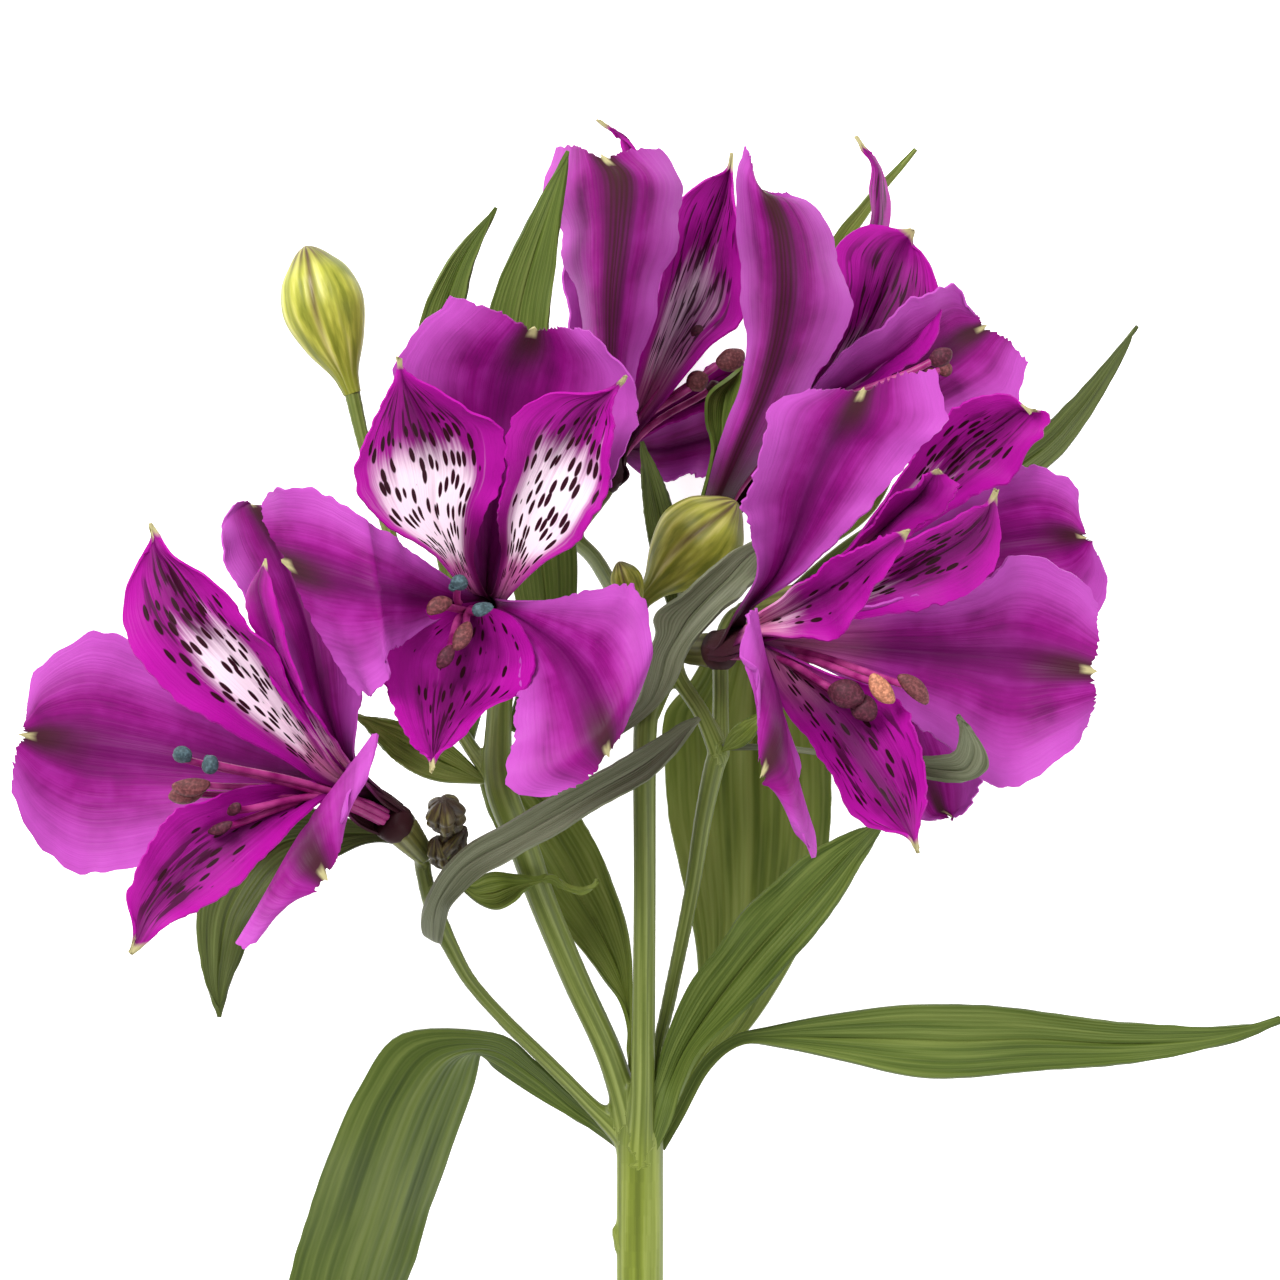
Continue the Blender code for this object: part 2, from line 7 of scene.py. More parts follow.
import bmesh
import bpy
import numpy as np
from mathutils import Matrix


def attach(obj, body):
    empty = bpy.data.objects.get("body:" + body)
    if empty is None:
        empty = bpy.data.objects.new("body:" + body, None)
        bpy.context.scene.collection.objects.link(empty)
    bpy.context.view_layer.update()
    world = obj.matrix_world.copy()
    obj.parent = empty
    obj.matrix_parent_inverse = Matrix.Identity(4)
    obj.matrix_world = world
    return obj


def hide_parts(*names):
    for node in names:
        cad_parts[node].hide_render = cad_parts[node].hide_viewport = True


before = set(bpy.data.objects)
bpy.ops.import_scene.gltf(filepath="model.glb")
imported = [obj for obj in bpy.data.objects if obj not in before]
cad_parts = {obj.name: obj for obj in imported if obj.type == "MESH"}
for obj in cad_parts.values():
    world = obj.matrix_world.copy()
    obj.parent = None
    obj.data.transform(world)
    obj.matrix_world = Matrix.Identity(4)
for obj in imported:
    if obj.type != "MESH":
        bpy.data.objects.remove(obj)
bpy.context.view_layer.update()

MM = 0.001

# The camera looks straight down. A place is noted as it is seen in a picture of 1280 steps a side: across,
# down, and its height in millimetres. A step is VIEW_STEP wide at the height of the node.
PICTURE_MIDDLE = 640
VIEW_STEP = 0.15
VIEW_HEIGHT = 945.0
NODE_HEIGHT = 45.0
VIEW_AHEAD = 75.0
# The tables' own origin, from the middle of the part's box.
ORIGIN = np.array((-2.1, 0.9, 0.0))

# Sizes of the plant's own parts, in millimetres.
TEPAL_THICKNESS = 0.35
OUTER_KINDS = ("outer", "rosy outer")
TEPAL_ROWS = 100
TEPAL_COLUMNS = 57
POINT_LENGTH = 1.6
POINT_HALF_WIDTH = 0.2
LEAF_THICKNESS = 0.6
LEAF_ROOT = 1.2
BUD_ROOT = 1.4
VEINS = 15
RECEPTACLE_HEIGHT = 2.5
RECEPTACLE_RADIUS = 3.2
OVARY_LENGTH = 9.0
OVARY_RADIUS = 3.3
# Claws: how far they stand from the flower's axis, and how far they wrap round, in degrees a side.
CLAW_RINGS = {"outer": 2.9, "inner": 2.4}
CLAW_WRAPS = {"outer": 62, "inner": 40}
FILAMENT_RADIUS = 0.55
GRAIN_RADIUS = 0.08
STEM_LENGTH = 153.0
STEM_RADIUS = 3.6
STEM_VOXEL = 0.42
FORK_REACH = 14.0
# The scar that a fallen leaf left on the stalk.
SCAR = ((-2.4, -19.0, 40.5), (-3.0, -16.5, 41.2), (-3.5, -14.5, 41.8), (-4.1, -13.2, 42.2))

# Each flower: the top of its ovary, the way it faces, its tepals and its anthers. A tepal is its kind and
# its rows from the throat to the tip. A row is the left edge, the midrib and the right edge, each as it
# is seen from above, with its height. An anther is its two ends, seen in the same way, and its radius.
FLOWERS = {
    "left": {
        "base": (398, 825, 63.5), "axis": (-0.70, 0.42, 0.58), "foot": (425, 856, 58.5),
        "tepals": (
            ("outer", ((330, 765, 71, 332, 778, 69, 330, 792, 71), (285, 735, 68, 275, 772, 64, 285, 802, 67),
                (225, 690, 64, 215, 764, 60, 225, 832, 63), (165, 655, 61, 150, 753, 58, 160, 858, 60),
                (95, 632, 58, 90, 744, 57, 90, 874, 57), (42, 666, 56, 50, 738, 58, 34, 842, 55),
                (30, 706, 57, 27, 735, 59, 12, 790, 56))),
            ("outer", ((340, 768, 70, 348, 765, 67, 356, 762, 70), (305, 715, 74, 325, 705, 66, 357, 720, 70),
                (275, 650, 75, 310, 635, 64, 362, 672, 68), (245, 600, 73, 290, 575, 62, 352, 600, 64),
                (224, 555, 70, 268, 530, 60, 325, 550, 60), (220, 528, 66, 255, 508, 59, 295, 522, 58),
                (238, 505, 62, 252, 506, 58, 272, 510, 57))),
            ("outer", ((348, 772, 71, 350, 788, 69, 345, 802, 71), (358, 758, 79, 335, 798, 76, 322, 828, 79),
                (372, 745, 88, 318, 812, 86, 288, 868, 88), (379, 738, 96, 306, 825, 95, 256, 915, 96),
                (376, 748, 101, 304, 838, 101, 238, 942, 101), (366, 775, 103, 311, 856, 103, 250, 945, 102),
                (350, 812, 103, 323, 874, 103, 272, 915, 102))),
            ("banded", ((325, 785, 73, 333, 775, 71, 340, 765, 73), (280, 757, 77, 295, 735, 73, 310, 722, 78),
                (225, 730, 80, 258, 690, 75, 287, 678, 82), (170, 694, 81, 222, 648, 77, 263, 640, 83),
                (132, 650, 80, 190, 610, 77, 238, 614, 82), (125, 598, 78, 168, 572, 76, 205, 573, 80),
                (138, 558, 76, 156, 548, 75, 172, 556, 77), (150, 541, 75, 153, 534, 74, 157, 540, 75))),
            ("blushed", ((338, 772, 73, 342, 765, 72, 348, 760, 74), (305, 725, 77, 312, 715, 79, 326, 728, 82),
                (275, 685, 78, 285, 668, 81, 300, 688, 85), (258, 640, 79, 268, 625, 82, 283, 640, 86),
                (246, 603, 79, 258, 590, 82, 276, 600, 85), (251, 584, 79, 261, 574, 81, 272, 584, 83),
                (259, 572, 80, 263, 568, 80, 267, 573, 81))),
            ("lower", ((322, 783, 73, 330, 790, 71, 328, 800, 74), (270, 785, 76, 285, 805, 73, 300, 820, 77),
                (218, 796, 79, 245, 828, 76, 274, 848, 80), (174, 814, 81, 205, 855, 78, 240, 882, 81),
                (147, 848, 82, 172, 885, 80, 205, 906, 82), (128, 895, 83, 148, 915, 82, 173, 920, 83),
                (133, 930, 83, 136, 943, 83, 150, 938, 83))),
        ),
        "anthers": ((210, 783, 80, 172, 786, 79, 1.2), (203, 791, 79, 169, 797, 77, 1.35),
                    (181, 762, 82, 190, 753, 84, 1.3), (203, 764, 82, 213, 757, 84, 1.3),
                    (228, 814, 79, 240, 804, 81, 0.75), (208, 832, 79, 232, 822, 80, 0.75)),
        "pollen": ("brown", "brown", "teal", "teal", "maroon", "maroon"),
    },
    "front": {
        "base": (490, 612, 60), "axis": (-0.3, 0.05, 0.95),
        "tepals": (
            ("outer", ((475, 590, 70, 487, 595, 68, 498, 590, 70), (460, 548, 73, 490, 540, 69, 518, 548, 73),
                (440, 492, 75, 495, 480, 72, 560, 502, 75), (410, 432, 78, 505, 425, 74, 610, 482, 78),
                (394, 388, 81, 515, 380, 77, 635, 422, 81), (406, 345, 83, 526, 352, 80, 629, 372, 83),
                (452, 299, 85, 533, 332, 83, 590, 329, 84))),
            ("outer", ((470, 592, 73, 472, 602, 71, 470, 612, 73), (440, 572, 81, 440, 600, 77, 435, 622, 80),
                (405, 547, 87, 410, 595, 85, 405, 642, 87), (370, 522, 93, 381, 590, 94, 387, 652, 94),
                (364, 518, 94, 375, 589, 95, 386, 664, 95), (325, 496, 94, 345, 580, 93, 384, 684, 93),
                (290, 486, 91, 315, 572, 91, 374, 695, 90), (262, 498, 87, 289, 564, 88, 356, 694, 87))),
            ("outer", ((500, 600, 73, 500, 608, 71, 495, 614, 73), (545, 600, 80, 530, 625, 78, 515, 640, 80),
                (585, 592, 88, 560, 650, 85, 520, 675, 87), (628, 584, 93, 580, 680, 91, 516, 712, 92),
                (644, 603, 95, 593, 708, 95, 511, 752, 94), (653, 640, 95, 602, 732, 97, 511, 788, 95),
                (640, 682, 94, 607, 750, 96, 548, 796, 95))),
            ("white left", ((462, 588, 74, 472, 590, 73, 483, 588, 73), (434, 555, 81, 452, 550, 78, 474, 556, 77),
                (387, 526, 86, 437, 510, 81, 484, 516, 81), (357, 490, 88, 436, 467, 83, 502, 478, 85),
                (360, 450, 89, 424, 430, 85, 503, 432, 88), (381, 412, 89, 412, 402, 87, 462, 400, 89),
                (394, 388, 89, 404, 382, 88, 420, 380, 89), (399, 372, 89, 401, 369, 89, 404, 371, 89))),
            ("white right", ((493, 592, 73, 502, 594, 73, 512, 594, 74), (501, 556, 77, 518, 556, 78, 540, 566, 81),
                (498, 518, 81, 532, 512, 81, 582, 538, 86), (504, 480, 85, 551, 470, 83, 605, 492, 88),
                (507, 430, 88, 570, 437, 85, 610, 445, 89), (545, 396, 89, 588, 410, 87, 611, 418, 89),
                (588, 393, 89, 605, 395, 88, 614, 403, 89), (613, 387, 89, 617, 384, 89, 618, 388, 89))),
            ("lower", ((470, 603, 73, 480, 608, 71, 490, 608, 73), (425, 610, 81, 472, 632, 76, 516, 620, 81),
                (381, 640, 86, 462, 660, 80, 533, 655, 86), (385, 682, 89, 453, 690, 84, 527, 686, 89),
                (398, 717, 92, 445, 718, 88, 490, 711, 92), (415, 745, 95, 438, 742, 92, 456, 738, 94),
                (428, 760, 96, 433, 764, 96, 439, 758, 96))),
        ),
        "anthers": ((458, 590, 90, 451, 583, 91, 1.35), (485, 613, 92, 483, 604, 93, 1.4),
                    (452, 602, 89, 428, 614, 90, 1.1), (469, 622, 90, 455, 650, 91, 1.15),
                    (452, 645, 88, 438, 668, 88, 1.0)),
        "pollen": ("teal", "teal", "brown", "brown", "maroon"),
    },
    "top": {
        "base": (600, 482, 30), "axis": (0.5, 0.85, 0.0),
        "tepals": (
            ("outer", ((598, 455, 36, 608, 452, 38, 620, 445, 36), (592, 410, 42, 610, 405, 46, 630, 410, 42),
                (585, 350, 46, 610, 345, 52, 640, 350, 46), (576, 292, 47, 612, 290, 56, 660, 290, 47),
                (563, 235, 46, 618, 230, 58, 675, 235, 47), (543, 185, 45, 620, 180, 59, 682, 190, 48),
                (556, 147, 46, 606, 160, 58, 660, 150, 50))),
            ("outer", ((628, 440, 28, 628, 450, 26, 622, 458, 28), (660, 420, 24, 660, 450, 20, 650, 478, 24),
                (700, 400, 20, 700, 440, 16, 690, 476, 20), (735, 388, 17, 738, 430, 12, 720, 472, 17),
                (752, 397, 14, 758, 425, 10, 742, 460, 14), (764, 410, 12, 768, 420, 10, 758, 445, 12))),
            ("outer", ((596, 450, 28, 600, 456, 24, 608, 458, 26), (585, 405, 22, 605, 405, 15, 630, 410, 20),
                (572, 350, 17, 610, 350, 8, 655, 350, 15), (564, 290, 13, 614, 290, 4, 672, 290, 11),
                (562, 235, 10, 617, 235, 1.5, 678, 235, 8), (568, 190, 8, 620, 190, 0.8, 672, 195, 6),
                (590, 165, 6, 622, 172, 0.5, 655, 170, 5))),
            ("streaked", ((615, 450, 34, 622, 448, 31, 630, 445, 34), (630, 400, 34, 645, 400, 29, 668, 396, 34),
                (645, 345, 33, 668, 345, 26, 706, 350, 33), (658, 295, 31, 690, 295, 23, 746, 312, 31),
                (668, 245, 28, 708, 245, 20, 742, 262, 28), (682, 200, 24, 722, 205, 18, 740, 220, 25),
                (705, 178, 20, 728, 180, 16, 736, 190, 20), (725, 172, 17, 730, 165, 16, 733, 174, 17))),
            ("streaked", ((600, 450, 32, 606, 452, 30, 612, 450, 32), (598, 380, 34, 612, 380, 33, 626, 380, 36),
                (600, 300, 38, 620, 300, 37, 640, 300, 40), (610, 220, 42, 628, 220, 41, 645, 220, 44),
                (622, 168, 44, 632, 165, 43, 642, 165, 45), (622, 142, 44, 628, 141, 44, 634, 146, 45),
                (609, 130, 44, 608, 127, 44, 612, 129, 44))),
            ("lower", ((622, 440, 30, 626, 444, 28, 632, 446, 30), (655, 405, 28, 662, 415, 24, 668, 425, 27),
                (690, 380, 25, 700, 395, 20, 706, 412, 24), (722, 362, 22, 730, 382, 17, 738, 398, 21),
                (744, 366, 19, 750, 372, 17, 750, 382, 18))),
        ),
        "anthers": ((716, 362, 31, 743, 351, 30, 1.6), (688, 388, 31, 708, 377, 31, 1.5),
                    (700, 340, 28, 706, 330, 27, 1.3), (706, 390, 27, 722, 385, 26, 1.3)),
        "pollen": ("brown", "brown", "maroon", "maroon"),
    },
    "upper_right": {
        "base": (715, 520, 34), "axis": (0.48, 0.85, 0.2),
        "tepals": (
            ("outer", ((705, 500, 38, 718, 498, 42, 735, 495, 38), (718, 450, 40, 740, 445, 47, 775, 440, 41),
                (735, 400, 42, 762, 392, 52, 805, 398, 44), (745, 345, 45, 778, 338, 57, 832, 357, 47),
                (744, 285, 49, 785, 285, 61, 848, 302, 50), (739, 230, 54, 781, 232, 63, 837, 248, 53),
                (736, 172, 58, 770, 200, 64, 815, 207, 57), (745, 149, 60, 761, 190, 62, 790, 193, 60))),
            ("outer", ((755, 440, 36, 762, 445, 33, 768, 450, 35), (800, 400, 37, 810, 425, 32, 820, 450, 34),
                (845, 355, 38, 860, 400, 32, 880, 445, 33), (890, 315, 38, 905, 378, 31, 935, 435, 31),
                (928, 290, 37, 940, 355, 30, 985, 415, 29), (955, 287, 34, 962, 338, 29, 1018, 398, 27),
                (968, 303, 31, 981, 328, 28, 1028, 362, 26))),
            ("outer", ((745, 455, 32, 752, 455, 29, 760, 455, 32), (755, 425, 26, 770, 425, 22, 785, 430, 26),
                (762, 385, 18, 785, 385, 13, 812, 390, 17), (770, 345, 10, 800, 345, 6, 838, 348, 9),
                (782, 312, 4, 812, 312, 1.6, 846, 314, 4), (796, 296, 1.5, 817, 297, 0.4, 838, 300, 1.5))),
            ("streaked", ((752, 435, 38, 758, 440, 35, 764, 440, 38), (785, 405, 38, 800, 415, 33, 812, 425, 37),
                (815, 370, 37, 835, 378, 31, 860, 396, 37), (835, 330, 36, 865, 335, 29, 906, 366, 36),
                (840, 290, 35, 885, 295, 28, 938, 335, 35), (837, 250, 33, 898, 262, 28, 935, 285, 32),
                (866, 225, 31, 905, 245, 29, 924, 256, 30), (895, 228, 30, 909, 238, 30, 912, 246, 30))),
            ("streaked", ((750, 440, 34, 756, 442, 32, 760, 444, 34), (790, 390, 30, 800, 395, 30, 808, 402, 28),
                (825, 330, 25, 838, 335, 27, 850, 340, 23), (852, 275, 23, 864, 278, 26, 876, 280, 21),
                (869, 225, 22, 876, 226, 26, 884, 226, 20), (872, 192, 22, 878, 190, 25, 886, 188, 20),
                (874, 166, 23, 877, 168, 24, 881, 167, 21), (864, 150, 23, 862, 146, 23, 867, 149, 23))),
            ("lower", ((760, 445, 36, 765, 450, 34, 768, 455, 36), (800, 432, 34, 805, 445, 31, 808, 462, 33),
                (845, 415, 31, 852, 440, 28, 855, 468, 30), (890, 412, 28, 898, 438, 25, 900, 466, 27),
                (925, 424, 26, 932, 438, 24, 930, 455, 25), (942, 434, 24, 945, 438, 24, 943, 443, 24))),
        ),
        "anthers": ((929, 362, 40, 951, 350, 41, 1.3), (938, 371, 33, 950, 364, 33, 1.1),
                    (925, 380, 33, 938, 374, 33, 1.0)),
        "pollen": ("maroon", "brown", "brown"),
    },
    "right": {
        "base": (716, 650, 62), "axis": (0.7, 0.0, 0.7),
        "tepals": (
            ("outer", ((735, 615, 71, 742, 612, 69, 752, 608, 71), (757, 575, 77, 775, 577, 74, 795, 579, 77),
                (752, 535, 83, 795, 535, 80, 835, 544, 83), (744, 503, 88, 812, 490, 85, 880, 496, 87),
                (757, 460, 92, 832, 448, 88, 916, 451, 90), (773, 408, 94, 850, 418, 91, 947, 418, 91),
                (808, 389, 93, 861, 394, 92, 935, 370, 91))),
            ("rosy outer", ((758, 628, 73, 762, 638, 71, 765, 648, 73), (830, 612, 76, 825, 645, 71, 825, 668, 74),
                (900, 600, 76, 890, 650, 69, 890, 702, 73), (965, 588, 74, 955, 655, 67, 945, 742, 70),
                (1022, 558, 71, 1015, 660, 65, 1000, 790, 67), (1077, 575, 68, 1055, 665, 66, 1062, 757, 66),
                (1095, 605, 66, 1089, 670, 67, 1088, 728, 65))),
            ("outer", ((752, 628, 73, 756, 640, 71, 760, 652, 73), (750, 622, 81, 766, 665, 78, 780, 710, 81),
                (750, 616, 90, 775, 690, 88, 796, 760, 90), (748, 613, 98, 780, 712, 97, 806, 820, 98),
                (745, 622, 102, 779, 732, 102, 811, 858, 101), (748, 650, 104, 773, 752, 104, 804, 846, 103),
                (756, 690, 104, 764, 770, 104, 790, 802, 103))),
            ("blushed", ((752, 618, 75, 757, 626, 73, 758, 636, 75), (785, 596, 83, 790, 612, 79, 795, 638, 82),
                (815, 572, 89, 822, 595, 85, 836, 638, 87), (845, 553, 93, 852, 575, 90, 863, 606, 90),
                (875, 540, 95, 878, 553, 94, 888, 568, 93), (895, 533, 96, 900, 537, 96, 903, 545, 95))),
            ("spotted", ((760, 622, 74, 766, 632, 72, 768, 640, 74), (820, 592, 78, 822, 610, 73, 825, 625, 76),
                (875, 560, 81, 882, 585, 74, 885, 615, 77), (905, 540, 82, 930, 560, 76, 945, 603, 76),
                (940, 526, 81, 965, 540, 76, 986, 580, 75), (970, 510, 79, 984, 520, 76, 1001, 545, 75),
                (985, 504, 78, 991, 500, 77, 997, 508, 76))),
            ("rosy lower", ((757, 648, 74, 765, 646, 72, 772, 648, 74), (773, 692, 79, 798, 680, 75, 825, 672, 79),
                (805, 735, 83, 835, 722, 79, 880, 690, 83), (832, 778, 86, 865, 765, 82, 916, 725, 86),
                (850, 812, 88, 890, 800, 84, 926, 775, 88), (885, 831, 89, 905, 825, 87, 922, 812, 88),
                (907, 838, 89, 913, 841, 88, 917, 835, 88))),
        ),
        "anthers": ((828, 690, 86, 864, 698, 87, 1.9), (850, 700, 85, 873, 720, 86, 1.7),
                    (872, 674, 89, 894, 702, 88, 1.3), (898, 676, 88, 927, 704, 87, 1.2)),
        "pollen": ("maroon", "maroon", "tan", "brown"),
    },
    "far_right": {
        "base": (800, 600, 46), "axis": (0.93, 0.2, 0.25),
        "tepals": (
            ("outer", ((845, 570, 49, 848, 578, 46, 850, 588, 48), (895, 540, 51, 900, 562, 46, 900, 590, 49),
                (945, 505, 52, 955, 550, 47, 960, 605, 50), (995, 475, 53, 1010, 540, 49, 1030, 625, 51),
                (1036, 466, 53, 1050, 535, 51, 1086, 622, 52), (1074, 482, 53, 1070, 535, 53, 1107, 590, 53),
                (1081, 508, 53, 1082, 537, 54, 1101, 560, 54))),
            ("outer", ((842, 588, 48, 848, 592, 46, 855, 590, 48), (850, 640, 46, 872, 638, 42, 898, 635, 46),
                (862, 690, 45, 895, 685, 40, 940, 685, 45), (880, 740, 44, 915, 735, 40, 968, 735, 44),
                (898, 785, 43, 930, 780, 40, 981, 780, 43), (915, 816, 42, 940, 808, 41, 973, 803, 42),
                (930, 821, 42, 947, 814, 42, 960, 815, 42))),
            ("outer", ((842, 585, 46, 846, 588, 43, 850, 592, 45), (865, 590, 38, 865, 608, 35, 862, 628, 38),
                (895, 597, 30, 890, 630, 26, 880, 665, 30), (918, 620, 23, 910, 652, 20, 900, 690, 24),
                (932, 645, 18, 920, 668, 16, 910, 695, 19), (930, 665, 16, 925, 673, 15, 918, 686, 17))),
            ("spotted", ((835, 565, 51, 840, 572, 48, 845, 580, 51), (870, 520, 53, 885, 530, 48, 900, 540, 52),
                (905, 470, 55, 930, 490, 49, 955, 510, 54), (940, 424, 57, 970, 450, 51, 1004, 480, 56),
                (972, 400, 58, 1000, 428, 54, 1036, 441, 57), (1005, 395, 58, 1020, 412, 56, 1051, 418, 57),
                (1018, 400, 57, 1026, 411, 57, 1042, 410, 57))),
            ("spotted", ((830, 565, 53, 836, 570, 51, 842, 575, 53), (858, 540, 57, 865, 545, 54, 875, 552, 58),
                (880, 515, 60, 893, 520, 57, 912, 530, 61), (900, 495, 62, 915, 500, 59, 945, 508, 62),
                (915, 482, 62, 925, 488, 61, 960, 488, 62), (925, 474, 62, 932, 478, 62, 948, 477, 62))),
            ("lower", ((848, 580, 49, 852, 585, 46, 856, 592, 48), (900, 590, 48, 900, 605, 45, 898, 622, 48),
                (945, 610, 48, 945, 632, 44, 938, 655, 48), (985, 640, 47, 980, 662, 44, 970, 685, 47),
                (1005, 675, 46, 1010, 685, 45, 1000, 695, 46))),
        ),
        "anthers": ((928, 592, 50, 945, 586, 50, 1.2), (930, 580, 50, 944, 572, 50, 1.2),
                    (905, 575, 50, 916, 568, 50, 1.2)),
        "pollen": ("maroon", "brown", "brown"),
    },
}

# Half widths along a leaf, as fractions of the widest one.
LEAF_OUTLINE = ((0.0, 0.18), (0.10, 0.40), (0.22, 0.72), (0.34, 0.93), (0.46, 1.0), (0.58, 0.95),
                (0.70, 0.80), (0.82, 0.56), (0.92, 0.28), (1.0, 0.02))
STALKED_OUTLINE = ((0.0, 0.20), (0.10, 0.17), (0.20, 0.30), (0.32, 0.72), (0.44, 0.96), (0.56, 1.0),
                   (0.68, 0.90), (0.80, 0.64), (0.91, 0.32), (1.0, 0.02))
BRACT_OUTLINE = ((0.0, 0.10), (0.12, 0.42), (0.30, 0.86), (0.48, 1.0), (0.66, 0.86), (0.84, 0.48),
                 (1.0, 0.03))
BUD_OUTLINE = ((0.0, 0.22), (0.06, 0.26), (0.15, 0.36), (0.35, 0.75), (0.58, 1.0), (0.78, 0.85),
               (0.90, 0.52), (0.97, 0.26), (1.0, 0.05))

# Leaves and bracts: the midrib's points, half width, the way the upper face looks, a crease along the
# midrib in degrees, the outline and the finish.
LEAVES = {
    "leaf_top_left": (((-25.6, 61, 49.4), (-24.5, 75, 41), (-27, 95, 40), (-30, 118, 42),
                       (-27.5, 130, 44), (-21.6, 139.8, 46)), 5.0, (0, 0, 1), 12, LEAF_OUTLINE, "leaf"),
    "leaf_top": (((-18.4, 62.4, 50.4), (-14.4, 73, 45), (-14.5, 86, 46), (-18, 106, 51),
                  (-17.7, 124, 56), (-10.6, 147, 61)), 6.0, (0, 0, 1), 12, LEAF_OUTLINE, "leaf"),
    "leaf_behind": (((-32.65, 44.15, 55.7), (-38, 46, 53.5), (-45, 46, 53.5), (-54, 44.5, 54.5),
                     (-60.5, 36, 56), (-62.3, 27, 57), (-62.2, 19.3, 58)), 5.4, (0, 0, 1), 12,
                    STALKED_OUTLINE, "dark leaf"),
    "leaf_far_right": (((13.7, 74.4, 43.9), (20, 78, 37), (34, 88, 30), (58, 101.7, 27), (67, 110, 27),
                        (76, 123, 28)), 3.6, (0, 0, 1), 12, LEAF_OUTLINE, "dark leaf"),
    "leaf_back": (((8.2, 87.0, 30.4), (16, 87.5, 25), (24, 89, 21), (35, 97, 16), (39, 112, 11),
                   (35, 127, 11), (30.5, 134.5, 14), (35, 142, 16), (42.6, 150.9, 17)), 2.4,
                  (0, 0, 1), 10, LEAF_OUTLINE, "young and lit leaf"),
    "leaf_middle": (((4.9, 79.9, 38.7), (4, 88, 38.5), (2.5, 96, 38), (0.3, 105, 37)), 2.4,
                    (0, 0, 1), 12, LEAF_OUTLINE, "dark leaf"),
    "bract_left": (((-23.9, 54.4, 53.1), (-32, 58, 51), (-42.2, 63.7, 49)), 3.3, (0, 0, 1), 12,
                   BRACT_OUTLINE, "young and lit leaf"),
    "bract_right": (((13.0, 59.3, 58.0), (16, 62, 61.5), (18.8, 64.6, 62)), 1.6, (0, 0, 1), 10,
                    BRACT_OUTLINE, "young and lit leaf"),
}

